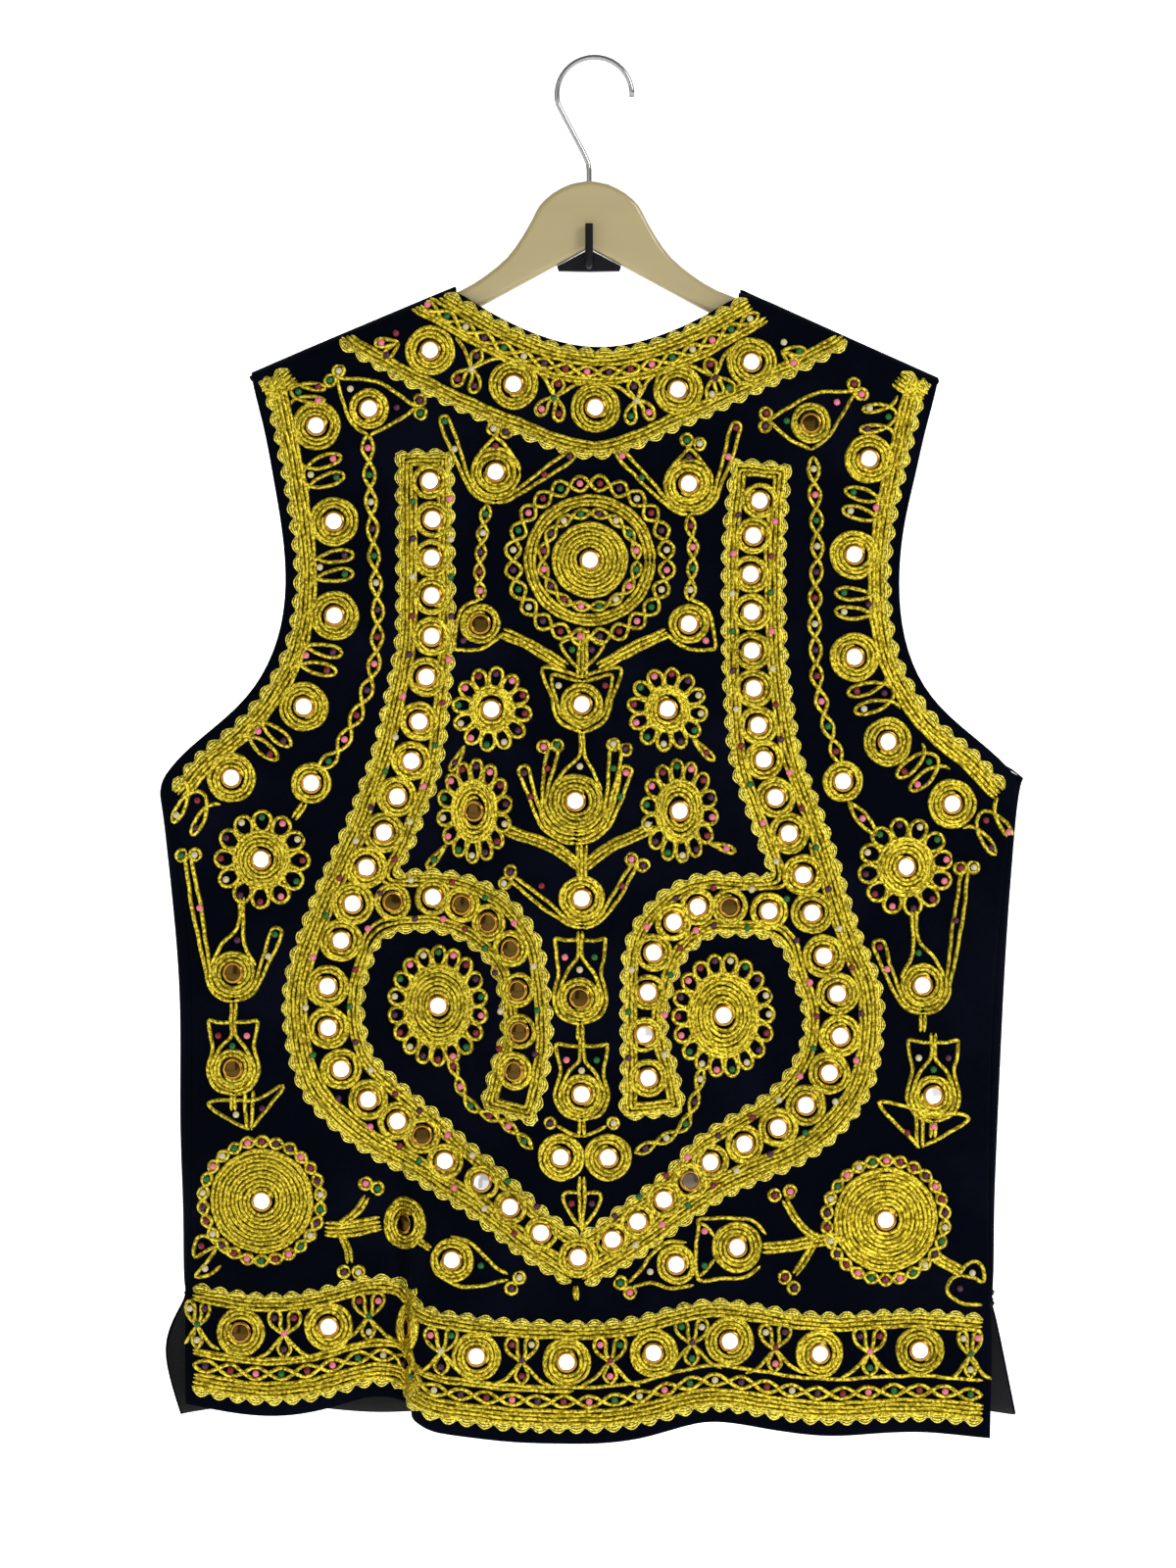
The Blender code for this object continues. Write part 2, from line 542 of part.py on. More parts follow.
def build_bar():
    arm_x = np.array([95, 120, 145, 162]) * MM
    top = [*(np.array(HUB) * MM), *[(x, below_seam(x, 0.0) - BAR_UNDER_SEAM) for x in arm_x]]
    tip_z = below_seam(BAR_TIP, 0.0) - BAR_UNDER_SEAM - 0.45 * BAR_HEIGHT
    under = [(x, below_seam(x, 0.0) - BAR_UNDER_SEAM - BAR_HEIGHT * (1 - 0.1 * i))
             for i, x in enumerate(arm_x)]
    right = spline(top, 2)
    right = [*right, (BAR_TIP - 2 * MM, tip_z + 5 * MM), (BAR_TIP, tip_z), (BAR_TIP - 2.5 * MM, tip_z - 4 * MM)]
    right += [*under[::-1], tuple(np.array(NOTCH_FOOT) * MM), tuple(np.array(NOTCH) * MM)]
    left = [(-x, z) for x, z in right[1:-1]][::-1]
    outline = np.array([*right, *left])
    bar = prism("hanger_bar", outline, -BAR_THICK / 2, BAR_THICK / 2)
    bar.data.materials.clear()
    bar.data.materials.append(material("wood"))
    socket = tube("socket", [(0, 0, HUB[0][1] * MM - SOCKET_DEPTH), (0, 0, HUB[0][1] * MM + 5 * MM)],
                  WIRE + 0.4 * MM, 12, "wood")
    rounding = bar.modifiers.new("rounding", "BEVEL")
    rounding.width = BAR_ROUND
    rounding.segments = 2
    rounding.limit_method = "ANGLE"
    rounding.angle_limit = math.radians(60)
    hole = bar.modifiers.new("socket", "BOOLEAN")
    hole.operation = "DIFFERENCE"
    hole.object = as_helper(socket)
    return bar


def build_insert():
    outline = np.array(INSERT + [(-x, z) for x, z in INSERT[1:-1]][::-1]) * MM
    wedge = prism("accessory_hook", outline, -INSERT_DEPTH / 2, INSERT_DEPTH / 2)
    wedge.data.materials.clear()
    wedge.data.materials.append(material("plastic"))
    reach = -INSERT_DEPTH / 2 - 6 * MM
    bend = np.radians([-90, -70, -45, -20, 0])
    low, corner = -115.2 * MM, 4 * MM
    path = [(0, -1 * MM, low), (0, reach + corner, low)]
    path += [(0, reach + corner + corner * math.sin(a), low + corner - corner * math.cos(a))
             for a in bend[::-1][1:]]
    path += [(0, reach, -97 * MM), (0, reach, -92 * MM)]
    peg = as_helper(tube("peg", path, PEG_RADIUS, 10, "plastic"))
    joined = wedge.modifiers.new("peg", "BOOLEAN")
    joined.operation = "UNION"
    joined.object = peg
    return wedge


def main():
    for thing in list(bpy.data.objects):
        bpy.data.objects.remove(thing)
    _, back_layer = build_back()
    build_back_trims(back_layer)
    for side in (-1, 1):
        _, front_layer = build_front(side)
        build_front_trims(front_layer, side)
    build_bar()
    build_hook()
    build_insert()


main()
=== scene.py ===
"""Looks of an embroidered velvet waistcoat that hangs on a wooden hanger, seen from its back.

The velvet is a thin shell grown on each cloth wall. The embroidery is charted flat, in millimetres of x and
z, and laid on the shell: couched cords, scalloped lace edges, beads, and mirrors in wire rims.
"""

import math

import bmesh
import bpy
import numpy as np
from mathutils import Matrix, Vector
from mathutils.bvhtree import BVHTree


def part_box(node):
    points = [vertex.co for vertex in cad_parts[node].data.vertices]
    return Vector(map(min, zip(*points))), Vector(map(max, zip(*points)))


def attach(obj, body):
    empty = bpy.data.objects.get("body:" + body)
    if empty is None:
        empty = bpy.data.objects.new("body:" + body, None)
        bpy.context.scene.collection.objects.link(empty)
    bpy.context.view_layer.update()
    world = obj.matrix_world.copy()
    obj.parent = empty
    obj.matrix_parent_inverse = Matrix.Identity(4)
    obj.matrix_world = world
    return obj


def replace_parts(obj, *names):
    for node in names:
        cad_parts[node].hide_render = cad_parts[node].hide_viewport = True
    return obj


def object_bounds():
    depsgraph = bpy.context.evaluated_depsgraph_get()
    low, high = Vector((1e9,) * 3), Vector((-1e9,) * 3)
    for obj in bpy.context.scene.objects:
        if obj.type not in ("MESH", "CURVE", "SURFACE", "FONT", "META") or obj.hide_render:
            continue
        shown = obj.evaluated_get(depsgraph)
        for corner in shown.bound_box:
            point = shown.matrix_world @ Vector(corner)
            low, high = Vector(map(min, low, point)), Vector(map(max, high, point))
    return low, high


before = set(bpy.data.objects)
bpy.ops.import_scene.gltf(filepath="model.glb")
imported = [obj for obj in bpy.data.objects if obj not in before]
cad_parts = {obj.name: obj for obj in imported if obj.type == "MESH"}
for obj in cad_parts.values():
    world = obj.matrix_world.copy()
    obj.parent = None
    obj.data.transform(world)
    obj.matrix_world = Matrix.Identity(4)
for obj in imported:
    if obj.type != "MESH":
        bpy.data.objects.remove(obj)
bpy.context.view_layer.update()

MM = 0.001
CORD = 2.45  # width of a couched cord
PITCH = 2.3  # from one cord to the next beside it
MIRROR = 4.6  # radius of a mirror
RIM = 6.0  # outside radius of its wire rim
BEAD = 1.95  # radius of a bead
STEP = 1.5  # length of one facet of cord
LACE_PITCH = 10.2  # from one scallop to the next
MERGE = 2e-6  # points of a CAD node nearer than this, in metres, are one

rng = np.random.default_rng(7)


# ---------------------------------------------------------------- meshes

def new_mesh(name, points, faces, uv=None, values=None, colours=None):
    """A mesh from whole arrays: points (n, 3) in metres, and faces all of three or all of four corners."""
    mesh = bpy.data.meshes.new(name)
    mesh.vertices.add(len(points))
    mesh.vertices.foreach_set("co", np.ascontiguousarray(points, np.float32).ravel())
    corners = np.ascontiguousarray(faces, np.int32)
    mesh.loops.add(corners.size)
    mesh.loops.foreach_set("vertex_index", corners.ravel())
    mesh.polygons.add(len(corners))
    mesh.polygons.foreach_set("loop_start", np.arange(0, corners.size, corners.shape[1], dtype=np.int32))
    mesh.polygons.foreach_set("use_smooth", np.ones(len(corners), bool))
    if uv is not None:
        layer = mesh.uv_layers.new(name="UVMap")
        layer.data.foreach_set("uv", np.asarray(uv, np.float32)[corners.ravel()].ravel())
    for key, array in (values or {}).items():
        mesh.attributes.new(key, "FLOAT", "POINT").data.foreach_set("value", np.asarray(array, np.float32))
    for key, array in (colours or {}).items():
        mesh.attributes.new(key, "FLOAT_COLOR", "POINT").data.foreach_set("color",
                np.asarray(array, np.float32).ravel())
    mesh.update(calc_edges=True)
    made = bpy.data.objects.new(name, mesh)
    bpy.context.scene.collection.objects.link(made)
    return made


def grid_faces(rows, columns, wrap=False):
    """Four-cornered faces of a grid of points; wrap joins the last column to the first."""
    number = np.arange(rows * columns).reshape(rows, columns)
    if wrap:
        number = np.concatenate([number, number[:, :1]], axis=1)
    return np.stack([number[:-1, :-1], number[:-1, 1:], number[1:, 1:], number[1:, :-1]],
                    axis=-1).reshape(-1, 4)


def rings(radii, heights, around):
    """Rings of points about an axis, one for each radius and height: (radius cos, radius sin, height)."""
    a = np.linspace(0, 2 * math.pi, around, endpoint=False)
    r, h = np.reshape(radii, (-1, 1)), np.reshape(heights, (-1, 1))
    return np.stack(np.broadcast_arrays(r * np.cos(a), r * np.sin(a), h + 0 * a), axis=-1).reshape(-1, 3)


def copies(shape, faces, centres, axes, size):
    """A small shape set at each centre along three axes, and its faces renumbered by a running count."""
    points = centres[:, None] + size * MM * np.einsum("kj,njd->nkd", shape, axes)
    starts = np.arange(len(centres))[:, None, None] * len(shape)
    return points.reshape(-1, 3), (faces[None] + starts).reshape(-1, faces.shape[1])


def joined(parts):
    """Several (points, faces, uv, value) sets as one: faces are renumbered by a running count of points."""
    starts = np.concatenate([[0], np.cumsum([len(p[0]) for p in parts])[:-1]])
    points = np.concatenate([p[0] for p in parts])
    faces = np.concatenate([p[1] + s for p, s in zip(parts, starts)])
    uv = np.concatenate([p[2] for p in parts])
    values = np.concatenate([np.full(len(p[0]), p[3]) for p in parts])
    return points, faces, uv, values


# ---------------------------------------------------------------- curves

def curve(points, detail=10):
    """A Catmull-Rom curve: between two points it blends both with their neighbours by cubic weights."""
    p = np.asarray(points, float)
    p = np.vstack([2 * p[0] - p[1], p, 2 * p[-1] - p[-2]])
    t = np.linspace(0, 1, detail, endpoint=False)[None, :, None]
    a, b, c, d = (p[i:len(p) - 3 + i, None] for i in range(4))
    runs = 0.5 * (2 * b + (c - a) * t + (2 * a - 5 * b + 4 * c - d) * t**2 + (3 * b - a - 3 * c + d) * t**3)
    return np.vstack([runs.reshape(-1, p.shape[1]), p[-2:-1]])


def run_of(line):
    """The running length along a line of points."""
    return np.concatenate([[0], np.cumsum(np.linalg.norm(np.diff(line, axis=0), axis=1))])


def even(line, step=STEP):
    """The same line as points an even step apart."""
    run = run_of(line)
    at = np.linspace(0, run[-1], max(int(run[-1] / step + 0.5), 3) + 1)
    return np.stack([np.interp(at, run, line[:, k]) for k in range(line.shape[1])], axis=1)


def runs_where(line, keep):
    """The stretches of a line whose points are kept, each of at least four points."""
    edges = np.flatnonzero(np.diff(np.concatenate([[0], keep.astype(int), [0]])))
    return [line[a:b] for a, b in zip(edges[::2], edges[1::2]) if b - a >= 4]


def leftward(line):
    """Unit vectors to the left of a flat line's direction."""
    d = np.gradient(line, axis=0)
    d /= np.linalg.norm(d, axis=1, keepdims=True) + 1e-12
    return np.stack([-d[:, 1], d[:, 0]], axis=1)


def beside(line, distance):
    """A flat line moved to its left by a distance, which may change along it."""
    return line + leftward(line) * np.reshape(distance, (-1, 1))


def ring(radius, start=0.0, turns=1.0, squash=1.0):
    """A circle, as an angle that runs through so many turns."""
    a = start + np.linspace(0, 2 * math.pi * turns, max(int(abs(turns) * radius * 4), 12))
    return np.stack([radius * np.cos(a), squash * radius * np.sin(a)], axis=1)


def spiral(inner, outer, start=0.0, pitch=PITCH):
    """A flat spiral whose radius grows by one pitch for each turn, and its last turn closes on itself."""
    turns = max((outer - inner) / pitch, 0) + 1.0
    a = np.linspace(0, 2 * math.pi * turns, int(turns * 40) + 2)
    r = np.minimum(inner + pitch * a / (2 * math.pi), outer)
    return np.stack([r * np.cos(a + start), r * np.sin(a + start)], axis=1)


def turned(points, angle, scale=1.0, mirror=1):
    """Points turned about the origin by an angle in degrees, after an optional flip of x."""
    p = np.asarray(points, float) * [mirror * scale, scale]
    c, s = math.cos(math.radians(angle)), math.sin(math.radians(angle))
    return p @ np.array([[c, s], [-s, c]])


def leaf_shape(reach, width):
    """A closed loop from the origin out to a point: a sine narrowed toward its base, widest two thirds along."""
    t = np.linspace(0, 1, 48)
    out = 0.5 * (1 - np.cos(2 * math.pi * t))
    sideways = np.sin(2 * math.pi * t) * (0.2 + 0.8 * out) * (width - CORD) * 0.62
    length = math.hypot(*reach)
    return turned(np.stack([sideways, out * length], axis=1), math.degrees(math.atan2(reach[1], reach[0])) - 90)


# ---------------------------------------------------------------- cloth

def outer_skin(node, facing, name):
    """The outer face of a cloth wall, grown from its outermost face to its sharp rim, then subdivided."""
    bm = bmesh.new()
    bm.from_mesh(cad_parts[node].data)
    bmesh.ops.remove_doubles(bm, verts=bm.verts, dist=MERGE)
    bm.faces.ensure_lookup_table()
    first = max(bm.faces, key=lambda f: f.calc_center_median().y * facing)
    keep, front = {first}, [first]
    while front:
        face = front.pop()
        for e in face.edges:
            for other in e.link_faces:
                if other not in keep and e.calc_face_angle(math.pi) < math.radians(60):
                    keep.add(other)
                    front.append(other)
    bmesh.ops.delete(bm, geom=[f for f in bm.faces if f not in keep], context="FACES")
    bmesh.ops.join_triangles(bm, faces=bm.faces, angle_face_threshold=1.2, angle_shape_threshold=3.1)
    mesh = bpy.data.meshes.new(name)
    bm.to_mesh(mesh)
    bm.free()
    skin = bpy.data.objects.new(name, mesh)
    bpy.context.scene.collection.objects.link(skin)
    rounding = skin.modifiers.new("rounding", "SUBSURF")
    rounding.levels = rounding.render_levels = 2
    rounding.boundary_smooth = "PRESERVE_CORNERS"
    return settled(skin)


def settled(thing):
    """The piece with its modifiers applied."""
    graph = bpy.context.evaluated_depsgraph_get()
    mesh = bpy.data.meshes.new_from_object(thing.evaluated_get(graph))
    thing.modifiers.clear()
    old, thing.data = thing.data, mesh
    bpy.data.meshes.remove(old)
    mesh.name = thing.name
    return thing


def points_of(thing):
    co = np.empty(len(thing.data.vertices) * 3, np.float32)
    thing.data.vertices.foreach_get("co", co)
    return co.reshape(-1, 3).astype(float)


def normals_of(thing):
    n = np.empty(len(thing.data.vertices) * 3, np.float32)
    thing.data.vertex_normals.foreach_get("vector", n)
    return n.reshape(-1, 3).astype(float)


# length, slant, phase, height
RIPPLES = [(96, 8, 0.4, 0.5), (61, -14, 2.1, 0.35), (39, 21, 4.0, 0.22), (27, -35, 1.2, 0.12)]


def ripple(x, z, facing):
    """Small soft unevenness of hanging velvet: a sum of long waves that cross at different slants."""
    total = np.zeros_like(x)
    for length, slant, phase, height in RIPPLES:
        s = math.radians(slant + 3 * facing)
        run = (x * math.cos(s) + 0.35 * z * math.sin(s)) / (length * MM)
        total += height * np.sin(2 * math.pi * run + phase + facing)
    return total * MM


def creases(x, z, table):
    """Creases, each a line with a width and a depth, shaped as a bell across that line.

    The bell is exp(-(distance / width) squared), and its depth grows in from both ends of the line.
    """
    total = np.zeros_like(x)
    flat = np.stack([x, z], axis=1) / MM
    for line, width, depth in table:
        line = even(curve(line), 4.0)
        gaps = np.linalg.norm(flat[:, None] - line[None], axis=2)
        nearest = gaps.argmin(axis=1)
        share = nearest / (len(line) - 1)
        ends = np.clip(share * 5, 0, 1) * np.clip((1.25 - share) * 4, 0, 1)
        total += depth * np.exp(-((gaps.min(axis=1) / width) ** 2)) * ends
    return total * MM


BACK_CREASES = [  # line of (x, z), width, depth outward, in mm
    ([(-107, -600), (-104, -650), (-103, -700), (-102.5, -766)], 3.0, -5.5),
    ([(-98, -612), (-97, -660), (-97, -766)], 4.5, 2.4),
    ([(60, -690), (64, -725), (63, -766)], 9.0, -1.6), ([(92, -690), (95, -725), (98, -768)], 9.0, 1.4),
    ([(-232, -408), (-205, -440), (-178, -500), (-166, -560)], 10.0, -1.6),
    ([(232, -408), (206, -446), (186, -500), (176, -560)], 10.0, -1.6),
    ([(-170, -182), (-140, -215), (-118, -270), (-108, -330)], 9.0, -0.9),
    ([(172, -186), (142, -220), (118, -276), (108, -340)], 9.0, -0.9),
    ([(-60, -206), (-30, -232), (0, -240), (34, -232), (64, -208)], 10.0, -0.9),
    ([(-20, -440), (-26, -520), (-18, -600)], 10.0, -0.8), ([(20, -430), (24, -520), (16, -600)], 10.0, -0.7),
]
FRONT_CREASES = [
    ([(-232, -408), (-200, -440), (-160, -490), (-120, -520)], 11.0, -1.8),
    ([(232, -408), (200, -442), (162, -492), (124, -526)], 11.0, -1.8),
    ([(-168, -182), (-138, -230), (-110, -300), (-92, -380)], 10.0, -1.2),
    ([(168, -182), (138, -230), (110, -300), (92, -380)], 10.0, -1.2),
    ([(-60, -560), (-66, -650), (-62, -764)], 11.0, -1.6), ([(66, -560), (72, -650), (70, -764)], 11.0, -1.6),
    ([(-150, -600), (-156, -680), (-152, -750)], 9.0, 1.2), ([(152, -600), (158, -690), (156, -764)], 9.0, 1.2),
]


RAY_START = 0.3  # how far out, in metres, the rays that look for the cloth begin
THINNEST = 0.3 * MM  # cloth nearer the middle plane than this is a side seam, where nothing is stitched
SPREAD_STEPS = 14  # how many cells the height is carried on past the cloth's edge


class Cloth:
    """The outside of the cloth on one side as a height over x and z, read from rays shot at the skins."""

    def __init__(self, skins, facing):
        self.facing, self.step = facing, 3 * MM
        corners = np.vstack([points_of(s) for s in skins])
        self.low = corners.min(0)[[0, 2]] - 2 * self.step
        high = corners.max(0)[[0, 2]] + 2 * self.step
        count = np.ceil((high - self.low) / self.step).astype(int) + 1
        graph = bpy.context.evaluated_depsgraph_get()
        trees = [BVHTree.FromObject(s, graph) for s in skins]
        height = np.full(count, np.nan)
        away = Vector((0, -facing, 0))
        for i, j in np.ndindex(*count):
            start = Vector((self.low[0] + i * self.step, RAY_START * facing, self.low[1] + j * self.step))
            hits = [t.ray_cast(start, away)[0] for t in trees]
            found = [h.y for h in hits if h is not None]
            if found:
                height[i, j] = max(found, key=lambda y: y * facing)
        height[height * facing < THINNEST] = np.nan
        self.covered = ~np.isnan(height)
        for _ in range(SPREAD_STEPS):
            holes = np.isnan(height)
            if not holes.any():
                break
            padded = np.pad(height, 1, constant_values=np.nan)
            around = np.stack([padded[a:a + count[0], b:b + count[1]] for a in range(3) for b in range(3)])
            known = ~np.isnan(around)
            sums, counts = np.where(known, around, 0).sum(0), known.sum(0)
            height = np.where(holes & (counts > 0), sums / np.maximum(counts, 1), height)
        self.height = np.nan_to_num(height, nan=0.0)
        self.slope_x = np.gradient(self.height, self.step, axis=0)
        self.slope_z = np.gradient(self.height, self.step, axis=1)

    def read(self, table, x, z):
        """A table's value at each point, blended between its four neighbours."""
        i = np.clip((x - self.low[0]) / self.step, 0, table.shape[0] - 1.001)
        j = np.clip((z - self.low[1]) / self.step, 0, table.shape[1] - 1.001)
        a, b = i.astype(int), j.astype(int)
        u, v = i - a, j - b
        return ((1 - u) * (1 - v) * table[a, b] + u * (1 - v) * table[a + 1, b]
                + (1 - u) * v * table[a, b + 1] + u * v * table[a + 1, b + 1])

    def covers(self, flat):
        """Whether there is cloth behind each flat point."""
        cell = np.round((flat * MM - self.low) / self.step).astype(int)
        cell = np.clip(cell, 0, np.array(self.covered.shape) - 1)
        return self.covered[cell[:, 0], cell[:, 1]]

    def lay(self, flat, lift=0.0):
        """Points (n, 2) in millimetres laid on the cloth and raised by a lift, with the normals there."""
        x, z = flat[:, 0] * MM, flat[:, 1] * MM
        normal = np.stack([-self.read(self.slope_x, x, z), np.ones_like(x), -self.read(self.slope_z, x, z)],
                          axis=1)
        normal *= self.facing / np.linalg.norm(normal, axis=1, keepdims=True)
        here = np.stack([x, self.read(self.height, x, z), z], axis=1)
        return here + normal * np.reshape(lift, (-1, 1)) * MM, normal

    def stand(self, flat, lift):
        """Places on the cloth, with three axes at each: across, up and outward."""
        centre, normal = self.lay(flat, lift)
        side = np.cross(normal, [0.0, 0.0, 1.0])
        side /= np.linalg.norm(side, axis=1, keepdims=True)
        return centre, np.stack([side, np.cross(side, normal), normal], axis=1)

    def narrowing(self, centre):
        """How much shorter a small shape looks from straight on where the cloth slopes, across and up."""
        x, z = np.array([centre[0] * MM]), np.array([centre[1] * MM])
        slope = np.array([self.read(self.slope_x, x, z)[0], self.read(self.slope_z, x, z)[0]])
        return 1 / np.sqrt(1 + np.minimum(np.abs(slope), 2.2) ** 2)


# ---------------------------------------------------------------- needlework

class Needlework:
    """What is stitched on one face: cords, lace, beads and mirrors. Charts are flat, in millimetres."""

    def __init__(self, cloth):
        self.cloth = cloth
        self.cords, self.laces, self.beads, self.mirrors = [], [], [], []
        self.stretch = (1.0, 1.0)

    def put(self, local, centre):
        """A small chart placed round a centre, drawn in where the cloth slopes."""
        return np.asarray(local, float) * self.cloth.narrowing(centre) * self.stretch + centre

    def cord(self, line, lift=0.0, keep=None):
        """One cord along a line, where there is cloth and the test keeps it, unsteady by the sum of two sines."""
        line = even(np.asarray(line, float))
        run = np.arange(len(line)) * STEP
        start = rng.random(2) * 2 * math.pi
        line = beside(line, 0.2 * np.sin(run / 4.6 + start[0]) + 0.12 * np.sin(run / 2.1 + start[1]))
        kept = self.cloth.covers(line)
        if keep is not None:
            kept &= keep(line)
        for run in runs_where(line, kept):
            self.cords.append((run, lift + 0.25 * rng.random()))

    def draw(self, points, centre=None, lift=0.0, side=1, x=0.0):
        """A cord through points given on one side of x, as a smooth line, and perhaps placed round a centre."""
        line = curve(np.asarray(points, float) * [side, 1] + [x, 0])
        self.cord(line if centre is None else self.put(line, centre), lift=lift)

    def cords_beside(self, line, offsets):
        for offset in offsets:
            self.cord(beside(line, offset))

    def lace(self, line, inner, outer, keep=None):
        """A scalloped lace edge along a line, from one sideways distance to another, both to its left."""
        line = even(line, 1.3)
        foot = beside(line, inner)
        kept = self.cloth.covers(foot)
        if keep is not None:
            kept &= keep(foot)
        for run in runs_where(line, kept):
            self.laces.append((run, inner, outer))

    def bead(self, at):
        """A bead. The colours follow each other three apart, and shift by one after every five."""
        count = len(self.beads) + 1
        self.beads.append((at[0], at[1], (count * 3 + count // 5) % len(SHADES)))

    def disc(self, centre, radius, dim=0.0, start=None, lift=0.0):
        """A mirror in its wire rim with cord wound round it out to a radius. A dim mirror is painted dark amber,
        a painted reflection of darker surroundings.
        """
        self.mirrors.append((centre[0], centre[1], dim, lift))
        start = rng.random() * 6.28 if start is None else start
        self.cord(self.put(spiral(RIM + CORD / 2 - 0.9, radius - CORD / 2, start), centre), lift=lift)

    def chain(self, line, lens, swing, closed=False):
        """Two cords that cross again and again along a line, a bead in each gap: a sine and its mirror."""
        line = even(line, 1.2)
        run = run_of(line)
        count = max(int(round(run[-1] / lens)), 1)
        if closed:
            count += count % 2
        wave = swing * np.sin(math.pi * count * run / run[-1])
        self.cord(beside(line, wave))
        self.cord(beside(line, -wave), lift=0.35)
        for s in (np.arange(count) + 0.5) / count * run[-1]:
            self.bead((np.interp(s, run, line[:, 0]), np.interp(s, run, line[:, 1])))

    def eyelet(self, centre, radius=3.5):
        """A small ring of cord round a bead."""
        self.cord(self.put(ring(radius - 0.3, rng.random() * 6), centre))
        self.bead(centre)

    def buds(self, base, angle, spread=3.7, reach=3.4):
        """Two eyelets side by side at the end of a stem that points at an angle."""
        for side in (-1, 1):
            self.eyelet(np.add(base, turned([(side * spread, reach)], angle - 90)[0]))

    def leaf(self, base, tip, width):
        """A loop of cord, narrow at its base and round at its tip."""
        base, tip = np.asarray(base, float), np.asarray(tip, float)
        self.cord(leaf_shape(tip - base, width) + base)
        self.bead(base + (tip - base) * 0.68)

    def petals(self, centre, inner, outer, count, start=0.0):
        """A ring of round loops with beads: a rolled circle whose every turn curls back on itself."""
        a = np.linspace(0, 2 * math.pi, count * 34 + 1)
        reach = (outer - inner) / 2
        middle = (outer + inner) / 2 - CORD / 2
        radial = middle + reach * np.cos(count * a)
        sideways = -0.72 * (2 * math.pi * middle / count) * np.sin(count * a)
        a = a + math.radians(start)
        shape = np.stack([radial * np.cos(a) - sideways * np.sin(a), radial * np.sin(a) + sideways * np.cos(a)],
                         axis=1)
        self.cord(self.put(shape, centre), lift=0.3)
        for k in range(count):
            b = math.radians(start) + 2 * math.pi * k / count
            r = middle + 0.5 * reach
            self.bead(self.put([[r * math.cos(b), r * math.sin(b)]], centre)[0])

    def flower(self, centre, disc, outer, petals, dim=0.0, stretch=(1.0, 1.0)):
        self.stretch = stretch
        self.disc(centre, disc, dim, lift=0.6)
        self.petals(centre, disc - 2.6, outer, petals, start=rng.random() * 30)
        self.stretch = (1.0, 1.0)

    def loops(self, a, b, inward, count=2, reach=21.0, swing=5.6, lean=0.2):
        """A cord from one point to another that swings inward in long loops, each with a bead at its tip."""
        a, b, inward = (np.asarray(v, float) for v in (a, b, inward))
        run = np.linalg.norm(b - a)
        along = (b - a) / run
        t = np.linspace(0, 2 * math.pi * count, 70 * count)
        h = reach * (1 - np.cos(t)) / 2
        s = run * t / t[-1] + swing * np.sin(t) + lean * h
        self.cord(a + along * s[:, None] + inward * h[:, None], lift=0.2)
        for k in range(count):
            s = run * (k + 0.5) / count + lean * reach * 0.8
            self.bead(a + along * s + inward * reach * 0.8)
        for k in range(1, count):
            self.bead(a + along * (run * k / count + lean * reach * 0.3) + inward * reach * 0.22)

    def knot(self, centre, size, angle=0.0, narrow=1.0):
        """Two strands that cross, rise into a pair of loops with beads, and meet below in a small loop."""
        strand = [(1.2, -0.98), (0.66, -0.7), (0.1, -0.1), (-0.5, 0.36), (-0.64, 0.78), (-0.42, 1.0),
                  (-0.18, 0.8), (-0.15, 0.3), (0.15, -0.24), (0.26, -0.6), (0.0, -0.93)]
        for flip in (-1, 1):
            self.cord(self.put(turned(curve(np.array(strand) * [size * narrow, size]), angle, mirror=flip),
                               centre), lift=0.2 + 0.2 * flip)
        for x, z in ((-0.4, 0.68), (0.4, 0.68), (0, 0.06), (0, -0.58)):
            self.bead(self.put(turned([(x * size * narrow, z * size)], angle), centre)[0])

    def stem(self, points, strands=2, pitch=PITCH):
        line = curve(points)
        self.cords_beside(line, (np.arange(strands) - (strands - 1) / 2) * pitch)

    def arm(self, centre, side, disc, tip, order=0, bead=True, eye=3.7):
        """A cord from under a disc that hugs its side, runs out, turns round an eye and comes back closer in."""
        inner = disc + 1.0 + 2 * order * PITCH
        outer = inner + PITCH
        tip = np.array([abs(tip[0]), tip[1]], float)
        lean = tip / np.linalg.norm(tip)
        across = np.array([-lean[1], lean[0]])
        away = math.atan2(lean[1], lean[0]) - math.pi / 2
        down = np.radians(np.linspace(-90, min(math.degrees(away) + 28, 8), 6))
        circle = np.stack([np.cos(down), np.sin(down)], axis=1)
        mid = (circle[-1] * (outer + inner) / 2 + tip) / 2
        points = [*(circle * outer), mid - across * 2.5, tip - across * eye - lean, tip + lean * eye * 0.8,
                  tip + across * eye - lean, mid + across * 2.5, *(circle[::-1] * inner)]
        self.draw(points, centre, lift=0.1, side=side)
        if bead:
            for spot in (tip - lean, mid + lean):
                self.bead(self.put(spot * [side, 1], centre))

    def column(self, spots, radii, dims):
        """Mirror discs one after another, a little proud, with a bead on either side between each two."""
        spots = np.asarray(spots, float)
        sizes = np.interp(np.linspace(0, 1, len(spots)), np.linspace(0, 1, len(radii)), radii)
        for spot, size, dim in zip(spots, sizes, dims):
            self.disc(spot, size, dim, lift=0.7)
        for first, second, size in zip(spots[:-1], spots[1:], sizes):
            across = leftward(np.array([first, second]))[0] * size
            self.bead((first + second) / 2 + across)
            self.bead((first + second) / 2 - across)

    # ---- from chart to meshes

